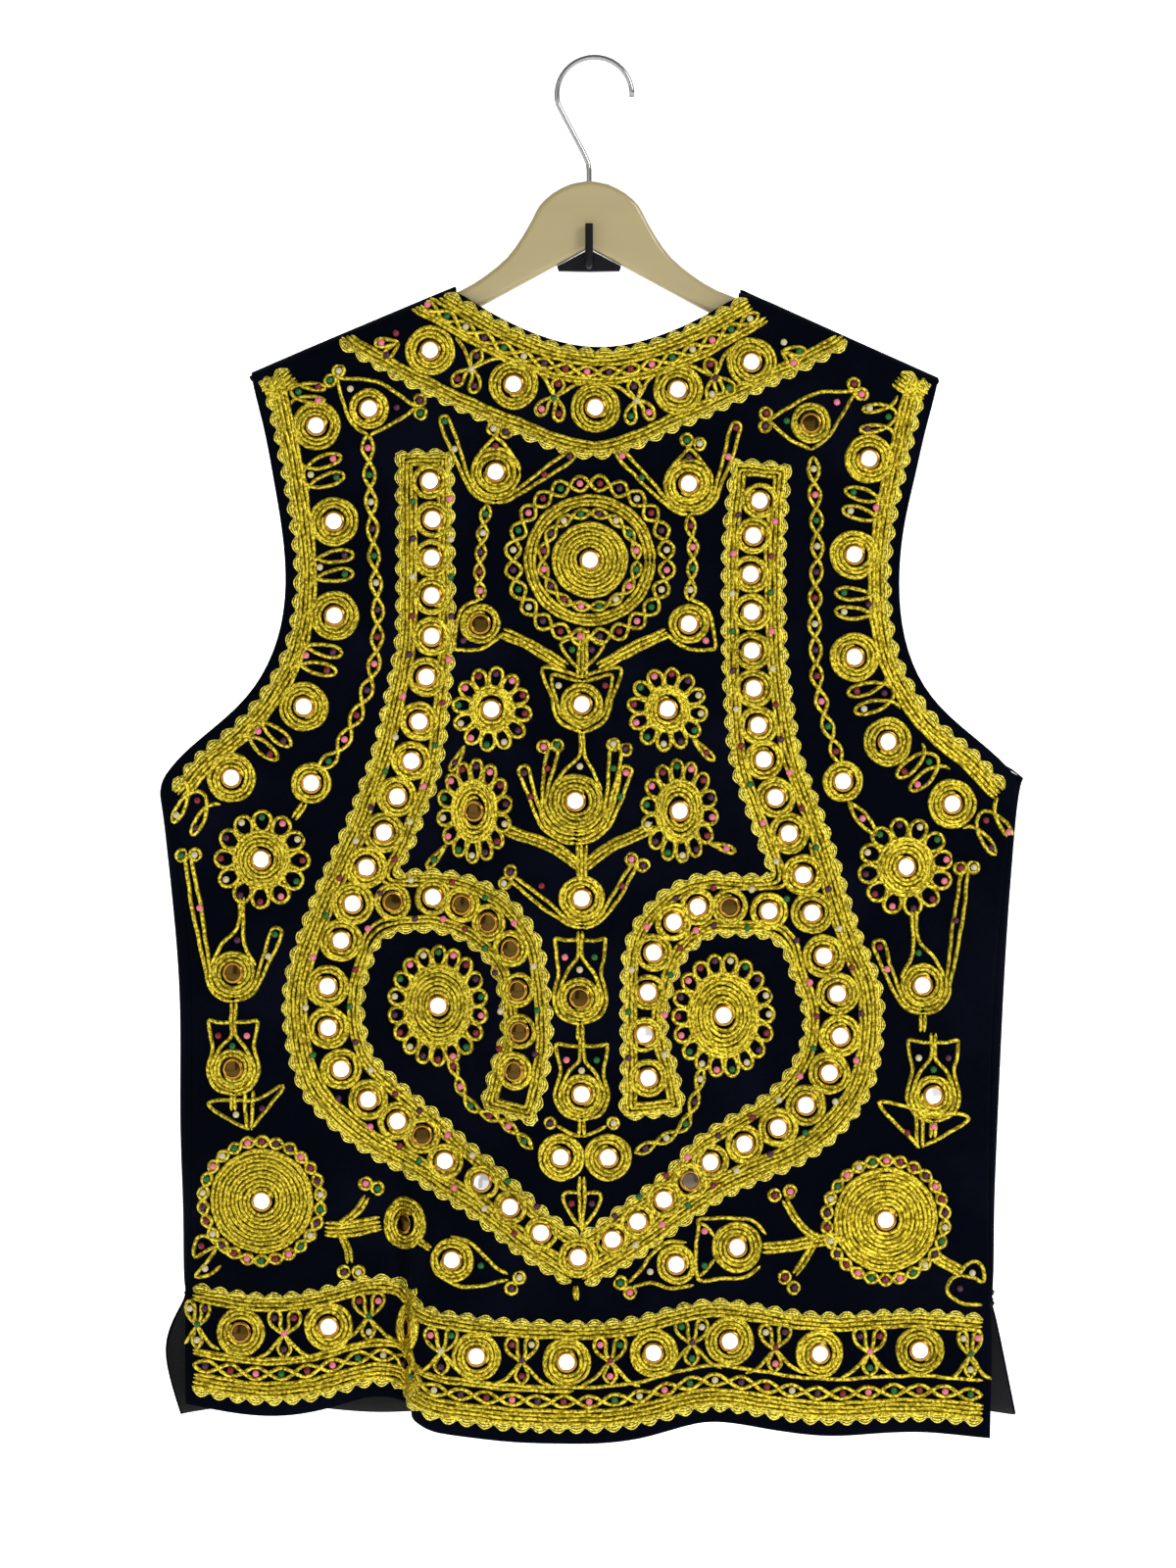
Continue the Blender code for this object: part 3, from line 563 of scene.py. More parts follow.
    def cord_parts(self):
        """Each cord is a low arch drawn along its line: five points across, raised in the middle."""
        across = np.array([-0.5, -0.37, 0.0, 0.37, 0.5])
        up = np.array([-0.12, 0.42, 0.68, 0.42, -0.12])
        parts = []
        for line, lift in self.cords:
            ends = np.minimum(1, np.minimum(np.arange(len(line)), np.arange(len(line))[::-1]) * 0.5 + 0.35)
            centre, normal = self.cloth.lay(line, lift)
            forward = np.gradient(centre, axis=0)
            forward /= np.linalg.norm(forward, axis=1, keepdims=True) + 1e-12
            side = np.cross(forward, normal)
            size = (CORD * MM * ends)[:, None, None]
            points = (centre[:, None] + side[:, None] * size * across[:, None]
                      + normal[:, None] * size * up[:, None])
            run = run_of(centre) / MM
            uv = np.stack(np.broadcast_arrays(run[:, None], (np.arange(5) / 4)[None, :]), axis=-1)
            parts.append((points.reshape(-1, 3), grid_faces(len(line), 5), uv.reshape(-1, 2), rng.random()))
        return parts

    def lace_parts(self):
        """Lace is a strip whose outer edge follows the size of a sine, so it stands in scallops."""
        parts = []
        for line, inner, outer in self.laces:
            run = run_of(line)
            pitch = run[-1] / max(round(run[-1] / LACE_PITCH), 1)
            wave = 0.34 + 0.66 * np.abs(np.sin(math.pi * run / pitch))
            rows = [beside(line, inner + (outer - inner) * t * wave) for t in np.linspace(0, 1, 4)]
            lifts = (0.9, 1.3, 1.1, 0.25)
            grid = np.stack([self.cloth.lay(r, h)[0] for r, h in zip(rows, lifts)], axis=1)
            uv = np.stack(np.broadcast_arrays((run / pitch)[:, None], np.linspace(0, 1, 4)[None, :]), axis=-1)
            faces = grid_faces(len(run), 4)
            parts.append((grid.reshape(-1, 3), faces, uv.reshape(-1, 2), rng.random()))
        return parts


# ---------------------------------------------------------------- materials

def node(tree, kind, inputs=None, **settings):
    """A shader node: each input, by its name or number, is given a value or the output that feeds it."""
    made = tree.nodes.new("ShaderNode" + kind)
    for key, value in settings.items():
        setattr(made, key, value)
    for key, value in (inputs or {}).items():
        if isinstance(value, bpy.types.NodeSocket):
            tree.links.new(value, made.inputs[key])
        else:
            made.inputs[key].default_value = value
    return made


def calc(tree, operation, a, b=0.0):
    return node(tree, "Math", {0: a, 1: b}, operation=operation).outputs[0]


def noise(tree, scale, detail=2.0, vector=None, distortion=0.0):
    """A noise over a vector, or over the piece's own place."""
    vector = vector or node(tree, "TexCoord").outputs["Object"]
    inputs = {"Vector": vector, "Scale": scale, "Detail": detail, "Distortion": distortion}
    return node(tree, "TexNoise", inputs).outputs[0]


def carried(tree, name, output="Fac"):
    """What the mesh carries under a name: a number, or a colour."""
    return node(tree, "Attribute", attribute_name=name).outputs[output]


def spread(tree, value, low, high, bottom=0.0, top=1.0, curve_kind="SMOOTHSTEP"):
    """A value's range from low to high, spread over another range."""
    inputs = {"Value": value, "From Min": low, "From Max": high, "To Min": bottom, "To Max": top}
    return node(tree, "MapRange", inputs, interpolation_type=curve_kind).outputs[0]


def blend(tree, factor, low, high):
    """A colour between two, by a factor."""
    low, high = ((*c, 1.0) if isinstance(c, tuple) else c for c in (low, high))
    return node(tree, "Mix", {0: factor, 6: low, 7: high}, data_type="RGBA").outputs[2]


def uv_parts(tree):
    """The two parts of a piece's own map: along and across it."""
    return node(tree, "SeparateXYZ", {0: node(tree, "UVMap", uv_map="UVMap").outputs[0]}).outputs


def new_group(name, **given):
    """An empty node group whose inputs are numbers. Gives the group and what it is given."""
    group = bpy.data.node_groups.new(name, "ShaderNodeTree")
    for key, value in given.items():
        socket = group.interface.new_socket(name=key.replace("_", " "), in_out="INPUT",
                                            socket_type="NodeSocketFloat")
        socket.default_value = value
    return group, group.nodes.new("NodeGroupInput").outputs


def close_group(group, **outputs):
    """Puts named outputs on a group."""
    for key in outputs:
        group.interface.new_socket(name=key, in_out="OUTPUT", socket_type="NodeSocketFloat")
    end = group.nodes.new("NodeGroupOutput")
    for key, value in outputs.items():
        group.links.new(value, end.inputs[key])
    return group


def thread_group():
    """Metal thread: flakes along a cord, by a noise over its length and width. Gives height, painted glint and
    painted flank shade.
    """
    g, given = new_group("metal thread", Flake_Length=1.7, Strands=2.3)
    along, across = uv_parts(g)[:2]
    spot = node(g, "CombineXYZ", {0: calc(g, "DIVIDE", along, given["Flake Length"]),
                                  1: calc(g, "MULTIPLY", across, given["Strands"]),
                                  2: calc(g, "MULTIPLY", carried(g, "tone"), 90.0)}).outputs[0]
    height = node(g, "Mix", {0: 0.35, 2: noise(g, 1.0, vector=spot), 3: noise(g, 1500.0)}).outputs[0]
    off_middle = calc(g, "ABSOLUTE", calc(g, "SUBTRACT", across, 0.5))
    # both masks paint light into colour: the glint mask paints bright flakes, the flank mask paints shade on the
    # cord's sides
    return close_group(g, Height=height, Glint=spread(g, height, 0.41, 0.60),
                       Flank=spread(g, off_middle, 0.30, 0.50, top=0.75))


def pile_group():
    """Velvet pile: fine upright fibres as bump, and broad brushed patches where the pile lies another way."""
    g, given = new_group("velvet pile", Fibre=2600.0, Patch=16.0)
    patches = noise(g, given["Patch"], detail=3.0)
    return close_group(g, Height=noise(g, given["Fibre"]), Brushed=spread(g, patches, 0.42, 0.68))


def weave_group():
    """Plain weave: warp and weft as two crossing waves of the same width. Gives height."""
    g, given = new_group("plain weave", Thread=0.0007)
    place = node(g, "SeparateXYZ", {0: node(g, "TexCoord").outputs["Object"]}).outputs
    warp, weft = (calc(g, "SINE", calc(g, "MULTIPLY", calc(g, "DIVIDE", place[axis], given["Thread"]), math.pi))
                  for axis in (0, 2))
    return close_group(g, Height=calc(g, "MULTIPLY", warp, weft))


def grain_group():
    """Wood grain: long streaks along x with slow drift, and fine pores. Gives a streak mask and a height."""
    g, given = new_group("wood grain", Scale=60.0)
    place = node(g, "TexCoord").outputs["Object"]
    long = node(g, "Mapping", {"Vector": place, "Scale": (0.12, 1.0, 1.0)}).outputs[0]
    streak = noise(g, given["Scale"], detail=6.0, vector=long, distortion=0.4)
    return close_group(g, Streak=streak, Height=noise(g, 900.0, vector=long))


GROUPS = {"thread": thread_group(), "pile": pile_group(), "weave": weave_group(), "grain": grain_group()}


def use(tree, name):
    return node(tree, "Group", node_tree=GROUPS[name]).outputs


def material(name, roughness=0.5, metallic=0.0, **more):
    """A new material, with its tree and its shader."""
    made = bpy.data.materials.new(name)
    made.use_nodes = True
    shader = made.node_tree.nodes["Principled BSDF"]
    for key, value in {"Roughness": roughness, "Metallic": metallic, **more}.items():
        shader.inputs[key.replace("_", " ")].default_value = value
    return made, made.node_tree, shader


def paint(tree, shader, colour, height=None, strength=0.0, distance=0.0):
    """Gives a shader its colour, and a bump from a height."""
    tree.links.new(colour, shader.inputs["Base Color"])
    if height:
        inputs = {"Height": height, "Strength": strength, "Distance": distance}
        tree.links.new(node(tree, "Bump", inputs).outputs[0], shader.inputs["Normal"])


def gold_cord_material():
    """Couched metal cord: olive gold with bright flakes as painted glints, and painted shade on its flanks where
    cords lie side by side.
    """
    made, tree, shader = material("gold_cord", 0.36, 0.7, Specular_Tint=(1.0, 0.82, 0.3, 1))
    thread = use(tree, "thread")
    # painted glints: the colour steps from dark olive to bright gold by the flake mask, in place of the thread's
    # sparkle
    base = blend(tree, thread["Glint"], (0.165, 0.115, 0.002), (0.80, 0.66, 0.055))
    # painted shade: the cord's flanks darken as in the grooves between cords lying side by side
    base = blend(tree, thread["Flank"], base, (0.085, 0.058, 0.001))
    shade = spread(tree, carried(tree, "tone"), 0.0, 1.0, 0.85, 1.15, "LINEAR")
    toned = node(tree, "HueSaturation", {"Color": base, "Value": shade}).outputs[0]
    paint(tree, shader, toned, thread["Height"], 0.8, 0.0006)
    return made


def lace_material():
    """Fine gold thread lace: strands that follow the scalloped edge, paler and greener than the cord, with
    painted shade between the strands and painted glints from a fine noise.
    """
    made, tree, shader = material("gold_lace", 0.45, 0.5, Specular_Tint=(1.0, 0.84, 0.35, 1))
    strands = calc(tree, "COSINE", calc(tree, "MULTIPLY", uv_parts(tree)[1], 2 * math.pi * 3.3))
    height = calc(tree, "ADD", calc(tree, "MULTIPLY", strands, 0.14), noise(tree, 800.0))
    # painted shade and glints: darkest between the strands, brightest at the fine noise's peaks
    base = blend(tree, spread(tree, height, 0.34, 0.72), (0.09, 0.066, 0.002), (0.98, 0.83, 0.11))
    paint(tree, shader, base, height, 0.9, 0.0006)
    return made


def velvet_material():
    made, tree, shader = material("velvet", 0.95, Specular_IOR_Level=0.015, Sheen_Weight=0.012,
                                  Sheen_Roughness=0.35, Sheen_Tint=(0.55, 0.62, 0.9, 1))
    pile = use(tree, "pile")
    base = blend(tree, pile["Brushed"], (0.0010, 0.0015, 0.0038), (0.0018, 0.0026, 0.0062))
    paint(tree, shader, base, pile["Height"], 0.35, 0.0006)
    return made


def lining_material():
    """The velvet's back: plain cotton."""
    made, tree, shader = material("charcoal_cotton", 0.9, Specular_IOR_Level=0.15)
    drift = noise(tree, 12.0, vector=node(tree, "TexCoord").outputs["Generated"])
    base = blend(tree, drift, (0.010, 0.010, 0.011), (0.018, 0.018, 0.020))
    paint(tree, shader, base, use(tree, "weave")["Height"], 0.4, 0.0003)
    return made


def mirror_material():
    """Small glass mirrors with the slight ripple of hand-cut glass: white glow on the bright ones, a painted
    reflection of the bright studio, and dark amber on the dim ones, a painted reflection of darker surroundings.
    """
    made, tree, shader = material("mirror_glass", 0.12, 1.0, Emission_Color=(1, 1, 1, 1))
    # how far a mirror is painted dark amber, a painted reflection of darker surroundings
    dark_reflection = spread(tree, carried(tree, "dim"), 0.0, 0.8)
    # the other mirrors glow white, a painted reflection of the bright studio
    tree.links.new(spread(tree, dark_reflection, 0.0, 1.0, 0.8, 0.0, "LINEAR"), shader.inputs["Emission Strength"])
    base = blend(tree, dark_reflection, (1.0, 1.0, 1.0), (0.075, 0.042, 0.008))
    paint(tree, shader, base, noise(tree, 160.0), 0.15, 0.0008)
    return made


def bead_material():
    """Pearled glass beads in the colour each carries, with a slightly cloudy skin."""
    made, tree, shader = material("glass_bead", 0.16, Specular_IOR_Level=0.3)
    colour = carried(tree, "shade", "Color")
    paler = node(tree, "HueSaturation", {"Color": colour, "Value": 1.35, "Saturation": 0.95}).outputs[0]
    paint(tree, shader, blend(tree, noise(tree, 420.0), colour, paler))
    return made


def wood_material():
    made, tree, shader = material("varnished_wood", 0.38, Coat_Weight=0.25)
    grain = use(tree, "grain")
    base = blend(tree, grain["Streak"], (0.31, 0.25, 0.115), (0.35, 0.29, 0.138))
    paint(tree, shader, base, grain["Height"], 0.12, 0.0003)
    return made


def drifting_material(name, roughness, metallic, scale, low, high, strength=0.0, **more):
    """A hard material whose colour drifts between two by a noise, which also roughens it."""
    made, tree, shader = material(name, roughness, metallic, **more)
    drift = noise(tree, scale)
    paint(tree, shader, blend(tree, drift, low, high), drift if strength else None, strength, 0.0002)
    return made


GOLD, LACE, VELVET, LINING = gold_cord_material(), lace_material(), velvet_material(), lining_material()
MIRROR_GLASS, BEADS, WOOD = mirror_material(), bead_material(), wood_material()
WIRE = drifting_material("rim_wire", 0.2, 1.0, 320.0, (0.20, 0.08, 0.008), (0.62, 0.36, 0.06))
STEEL = drifting_material("polished_steel", 0.2, 1.0, 700.0, (0.22, 0.22, 0.215), (0.36, 0.36, 0.355), 0.15)
PLASTIC = drifting_material("black_plastic", 0.35, 0.0, 900.0, (0.0022, 0.0022, 0.004), (0.006, 0.006, 0.008),
                            0.2, Specular_IOR_Level=0.12)

SHADES = {  # bead colours
    "garnet": (0.115, 0.003, 0.010, 1), "green": (0.003, 0.075, 0.012, 1), "plum": (0.035, 0.004, 0.022, 1),
    "rose": (0.50, 0.115, 0.165, 1), "pearl": (0.40, 0.35, 0.20, 1),
}


def finish_piece(piece, slot_name, *finishes):
    """Gives a piece its materials and its body."""
    for finish in finishes:
        piece.data.materials.append(finish)
    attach(piece, "root")
    return piece


# ---------------------------------------------------------------- cloth panels

PANELS = {"back_panel": -1, "front_panel_left": 1, "front_panel_right": 1}
skins = {}
for panel, facing in PANELS.items():
    skin = outer_skin(panel, facing, panel.replace("panel", "velvet"))
    co = points_of(skin)
    fade = np.clip((-0.16 - co[:, 2]) / 0.12, 0, 1)
    pressed = ripple(co[:, 0], co[:, 2], facing) * fade + creases(co[:, 0], co[:, 2],
            BACK_CREASES if facing < 0 else FRONT_CREASES)
    co += normals_of(skin) * pressed[:, None]
    skin.data.vertices.foreach_set("co", co.astype(np.float32).ravel())
    skin.data.update()
    skins[panel] = skin

back_cloth = Cloth([skins["back_panel"]], -1)
front_cloth = Cloth([skins["front_panel_left"], skins["front_panel_right"]], 1)


TURN_RADIUS = 9.0 * MM  # how roundly the cloth turns over the hanger
HALF_SEAM = 0.25 * MM


def carry_to_seam(piece, facing, rows=4):
    """Carries the shoulder edge on to the seam over the hanger, row by row.

    Each row's y shrinks evenly to half the seam's gap, and z climbs as on a circle: sqrt(radius^2 - y^2).
    """
    bm = bmesh.new()
    bm.from_mesh(piece.data)
    rim = [e for e in bm.edges if e.is_boundary and all(v.co.z > -0.0978 - 0.43 * abs(v.co.x) for v in e.verts)]
    for row in range(rows):
        made = bmesh.ops.extrude_edge_only(bm, edges=rim)["geom"]
        points = {g for g in made if isinstance(g, bmesh.types.BMVert)}
        for v in points:
            before = abs(v.co.y)
            after = before + (HALF_SEAM - before) / (rows - row)
            v.co.y = facing * after
            v.co.z += math.sqrt(TURN_RADIUS**2 - after**2) - math.sqrt(max(TURN_RADIUS**2 - before**2, 0))
        rim = [g for g in made if isinstance(g, bmesh.types.BMEdge) and all(v in points for v in g.verts)]
        turned_down = [g for g in made if isinstance(g, bmesh.types.BMFace)]
        for face in turned_down:
            face.normal_update()
        bmesh.ops.reverse_faces(bm, faces=[f for f in turned_down if f.normal.z < 0])
    bm.to_mesh(piece.data)
    bm.free()


def velvet_panel(panel):
    """The panel's cloth: velvet outside, cotton inside, as thick as the wall it stands for."""
    piece = skins[panel]
    carry_to_seam(piece, PANELS[panel])
    piece.data.materials.clear()
    thick = piece.modifiers.new("thickness", "SOLIDIFY")
    thick.thickness = 1.8 * MM
    thick.offset = -1
    thick.material_offset = 1
    thick.material_offset_rim = 2
    thick.use_rim = True
    piece.data.polygons.foreach_set("use_smooth", np.ones(len(piece.data.polygons), bool))
    finish_piece(piece, "velvet", VELVET, LINING, VELVET)
    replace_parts(piece, panel)


# ---------------------------------------------------------------- the chart of the back

def edge_curve(panel, side_test, order):
    """An edge of a panel as a flat line: the skin's open edge points that pass a test, in order."""
    piece = skins[panel]
    bm = bmesh.new()
    bm.from_mesh(piece.data)
    found = [(v.co.x / MM, v.co.z / MM) for v in bm.verts if v.is_boundary]
    bm.free()
    line = np.array([p for p in found if side_test(*p)])
    return line[np.argsort(line[:, order])]


def height_at(line, x):
    return float(np.interp(x, line[:, 0], line[:, 1]))


yoke, arms, bands, middle, sides, foot = (Needlework(back_cloth) for _ in range(6))

# The neck edge and everything that runs parallel to it
neck_edge = edge_curve("back_panel", lambda x,
                       z: -75 < x < 86 and z > -168 and z > -135 - 1.2 * (80 - abs(x - 5)) * 0.55, 0)
neck_edge = even(curve(neck_edge[::4]), 2.0)


def under_neck(distance, reach_left, reach_right):
    """A line at a distance under the neck edge that runs on past the neck corners up to the shoulder."""
    line = beside(neck_edge, -distance)
    ends = []
    for here, before, reach in ((0, 6, reach_left), (-1, -7, reach_right)):
        away = neck_edge[here] - neck_edge[before]
        ends.append(line[here] + away / np.linalg.norm(away) * reach)
    return even(curve(np.vstack([ends[0], line[4:-4:6], ends[1]])), 1.6)


braid = under_neck(6.2, 14, 14)
yoke.cords_beside(braid, (-3.6, -1.3, 1.0))
yoke.lace(braid, 1.6, 6.0)
yoke.chain(under_neck(14.3, 16, 16), lens=12.2, swing=2.8)
yoke.cords_beside(under_neck(20.2, 20, 18), (0.0, 2.2))

YOKE_DISCS = [(-88.5, -163), (-42, -182), (3.5, -195), (49.5, -185), (90.5, -169.5)]
YOKE_FOOT = [(-143, -150), (-132, -160), (-94, -181.5), (-45, -204), (4, -219), (52, -201.5), (96, -181),
             (133, -162.5), (150, -151)]
foot_line = even(curve(YOKE_FOOT), 1.6)
yoke.cords_beside(foot_line, (4.4, 2.1, -0.2))
yoke.lace(foot_line, -0.9, -5.4)
for spot in YOKE_DISCS:
    yoke.disc(spot, 14.2)
for a, b in zip(YOKE_DISCS[:-1], YOKE_DISCS[1:]):
    slope = math.degrees(math.atan2(b[1] - a[1], b[0] - a[0]))
    yoke.knot(((a[0] + b[0]) / 2, (a[1] + b[1]) / 2 - 0.5), 12.6, slope + 180)
for spot, turn, flip in (((-112, -161), 28, 1), ((113, -166), -22, -1)):
    near = np.array(spot) + [6 * flip, 3]
    for tilt, reach in ((-24, 13), (20, 13.5)):
        tip = turned([(-reach, 0)], turn + tilt, mirror=flip)[0]
        yoke.cord(yoke.put(leaf_shape(tip, 7.8), near))
        yoke.bead(near + tip * 0.75)
    yoke.bead(near + [-1.5 * flip, 4.5])

# Armholes
ARM_LEFT = edge_curve("back_panel", lambda x, z: x < -150 and z > -403, 1)
ARM_RIGHT = edge_curve("back_panel", lambda x, z: x > 150 and z > -401, 1)
ARM_DISCS = {-1: [(-152, -205), (-142, -258.5), (-141.5, -311), (-158.5, -361.5), (-199, -401)],
             1: [(156, -223.5), (147.5, -277), (147.5, -334), (166, -381), (202, -415.5)]}
for side, edge in ((-1, ARM_LEFT), (1, ARM_RIGHT)):
    line = curve(edge[edge[:, 1] < -172][::5])
    # the line runs upward: the garment lies to its right on the left side, and to its left on the right side
    upward = (line[-1] - line[-20]) / np.linalg.norm(line[-1] - line[-20])
    line = even(np.vstack([line, line[-1] + upward * 12]), 2.0)
    arms.cords_beside(line, [side * d for d in (9.8, 12.1, 14.4, 16.7)])
    arms.lace(line, side * 9.2, side * 4.4)
    discs = ARM_DISCS[side]
    for spot in discs:
        arms.disc(spot, 14.0)
    for a, b in zip(discs[:-1], discs[1:]):
        a, b = np.array(a, float), np.array(b, float)
        along = (b - a) / np.linalg.norm(b - a)
        inward = np.array([-along[1], along[0]]) * -side
        if inward[0] * side > 0:
            inward = -inward
        half = 10.6
        m = (a + b) / 2 - inward * 13
        arms.loops(m - along * half, m + along * half, inward, reach=23.5, swing=5.7, lean=-0.1)
for side, start, end in ((-1, (-166, -178), (-166, -193)), (1, (172, -188), (170, -211))):
    arms.loops(start, end, (-side, 0), reach=19, swing=3.4 if side < 0 else 4.6, lean=0.1)
for side, start, end in ((-1, (-226, -402), (-205, -416)), (1, (228, -412), (208, -429))):
    along = np.subtract(end, start) / np.linalg.norm(np.subtract(end, start))
    inward = np.array([along[1], -along[0]]) * (1 if side < 0 else -1)
    arms.loops(start, end, inward if inward[1] < 0 else -inward, reach=23, swing=5.0, lean=0.1)

# Teardrop bands with their curls: each line is x, z and half the band's width there
TEAR_LEFT = [(-91.5, -226, 16.5), (-91, -279, 16.5), (-91, -322, 17), (-93.5, -345, 18), (-101.5, -391, 20.5),
             (-109, -412, 20.5), (-116.5, -432, 20.5), (-126, -452, 20), (-134, -472, 21), (-140, -492, 22.5),
             (-147, -517, 23), (-147, -541, 23), (-140, -565, 23.5), (-125, -582, 23), (-109, -594.5, 22),
             (-94.5, -604, 20.5), (-79, -616, 18.5), (-60.5, -629, 17), (-45, -642, 16), (-28, -656, 15.5),
             (-4, -671, 15)]
TEAR_RIGHT = [(95, -232, 17.5), (92, -267, 18), (91.5, -288, 18), (92, -330, 18.5), (95.5, -372, 20),
              (98.5, -391, 20.5), (105.5, -412, 20.5), (113, -432, 20.5), (121, -455, 20), (126, -476, 21),
              (132, -500, 23), (140, -521, 23.5), (141, -545, 23), (135, -567, 24), (122, -585, 23.5),
              (106, -597.5, 22.5), (87, -607, 21), (69, -617, 19.5), (57, -627, 17), (43, -638, 16),
              (28, -649, 16), (14, -659, 15.5), (-8, -672, 15)]
CURL_LEFT = [(-132, -465, 18), (-109, -470, 18), (-87, -469.5, 18), (-69, -473.5, 18.5), (-54, -482, 18.5),
             (-42, -497, 17), (-36.5, -517, 15), (-34.5, -543, 15), (-39, -566, 17), (-43.5, -583, 17)]
CURL_RIGHT = [(127, -466, 18), (105, -471, 18), (84, -472, 18), (67, -471.5, 18.5), (52, -478, 19),
              (41, -489, 18.5), (35.5, -501, 17.5), (32, -518, 15), (30.5, -536, 13.5), (31.5, -552, 14.5),
              (33.5, -565, 16.5), (35, -582, 18.5)]
CAP = 8.0  # how far a band runs on past the end of its middle line
FOOT_X = -5.5  # where the two bands meet
TEAR_DISCS = {-1: [(-88.5, -236), (-87, -257.5), (-87.5, -279), (-87.5, -300), (-87.5, -322.5), (-90.5, -345),
                   (-94.5, -369.5), (-99, -391.5), (-107, -411.5), (-114.5, -431.5), (-124, -451),
                   (-131.5, -471), (-138, -491.5), (-145.5, -517), (-145, -540), (-138, -563), (-123, -580),
                   (-107, -592), (-93, -600), (-80, -614.5), (-59.5, -626), (-43.5, -639.5), (-26.5, -653.5)],
              1: [(95, -247), (91.5, -266.5), (90, -288), (90.5, -309), (90.5, -330.5), (91.5, -351.5),
                  (94, -372), (97, -391), (103.5, -412), (111, -432), (119, -455), (124, -476), (130.5, -500),
                  (138, -521), (139.5, -544.5), (133.5, -565), (120.5, -583), (105, -595.5), (86, -604.5),
                  (67, -614.5), (56, -624.5), (41.5, -635), (27, -647), (13, -657)]}
TEAR_DIM = {-1: {18: 0.8, 20: 0.45}, 1: {20: 0.7}}
CURL_DISCS = {-1: [(-109.5, -470), (-87, -467.5), (-70.5, -471.5), (-55.5, -481.5), (-43, -496), (-39, -519),
                   (-38, -542), (-41, -564)],
              1: [(100, -475), (78, -472.5), (60, -472.5), (46.5, -481), (35.5, -498), (32.5, -520),
                  (30.5, -543.5), (32.5, -567.5)]}
CURL_DIM = {-1: [0.95, 0.0, 0.8, 0.85, 0.9, 0.85, 0.85, 0.95], 1: [0.0, 0.8, 0.0, 0.0, 0.0, 0.0, 0.35, 0.0]}


def corner(a, b, cut):
    """Two lines that cross, as one: each stops short of the crossing by a cut, and a parabola joins them."""
    gaps = np.linalg.norm(a[:, None] - b[None], axis=2)
    i, j = np.unravel_index(gaps.argmin(), gaps.shape)
    cross = (a[i] + b[j]) / 2
    first, last = a[: max(i - cut, 1)], b[min(j + cut, len(b) - 2):]
    t = np.linspace(0, 1, 14)[1:-1, None]
    bend = (1 - t) ** 2 * first[-1] + 2 * t * (1 - t) * cross + t**2 * last[0]
    return np.vstack([first, bend, last])


def end_cap(line, a, b, inset):
    """The square end of a band: the ends of its two sides, moved on past the end of its middle line."""
    ahead = (line[-1] - line[-3]) / np.linalg.norm(line[-1] - line[-3]) * (CAP - inset)
    return np.array([a + ahead, b + ahead])


for side, tear, curl in ((-1, TEAR_LEFT, CURL_LEFT), (1, TEAR_RIGHT, CURL_RIGHT)):
    tear, curl = even(curve(tear[::-1]), 1.6), even(curve(curl), 1.6)

    def outline(inset):
        """The edge of band and curl drawn in: foot, outer side, top, inner side, round the curl, foot."""
        outer, inner = (beside(tear[:, :2], s * side * (tear[:, 2] - inset)) for s in (-1, 1))
        far, near = (beside(curl[:, :2], s * side * (curl[:, 2] - inset)) for s in (-1, 1))
        inner, near = inner[::-1], near[::-1]
        return np.vstack([outer, end_cap(tear[:, :2], outer[-1], inner[0], inset), corner(inner, far, 4),
                          end_cap(curl[:, :2], far[-1], near[0], inset), corner(near, inner, 12)])

    def my_side(points):
        return points[:, 0] * side > FOOT_X * side

    for inset in (4.2, 6.5, 8.8):
        bands.cord(outline(inset), keep=my_side)
    # more rows beside the outer edge, and one more where the band is wide
    for inset, upto in ((11.1, 0.97), (13.4, 0.6)):
        row = beside(tear[:, :2], -side * (tear[:, 2] - inset))
        bands.cord(row[: int(len(row) * upto)], keep=my_side)
    bands.lace(outline(3.6), side * 0.4, -side * 4.0, keep=my_side)
    dims = [TEAR_DIM[side].get(n, 0.0) for n in range(len(TEAR_DISCS[side]))]
    bands.column(TEAR_DISCS[side], (10.4, 10.8, 11.2, 11.6, 12.2, 12.2, 11.3, 10.3, 9.8), dims)
    bands.column(CURL_DISCS[side], (10.8, 10.4, 10.8, 10.8, 9.6, 11.0), CURL_DIM[side])
bands.disc((-6, -667), 11.5, lift=0.9)

# Middle column, sun and flowers
SUN = (0.5, -280)
middle.disc(SUN, 21.5)
middle.chain(middle.put(ring(26.3), SUN), lens=10.2, swing=2.4, closed=True)
for radius in (31.0, 33.3, 35.6):
    middle.cord(middle.put(ring(radius), SUN))
middle.chain(middle.put(ring(43.0), SUN), lens=11.4, swing=4.3, closed=True)

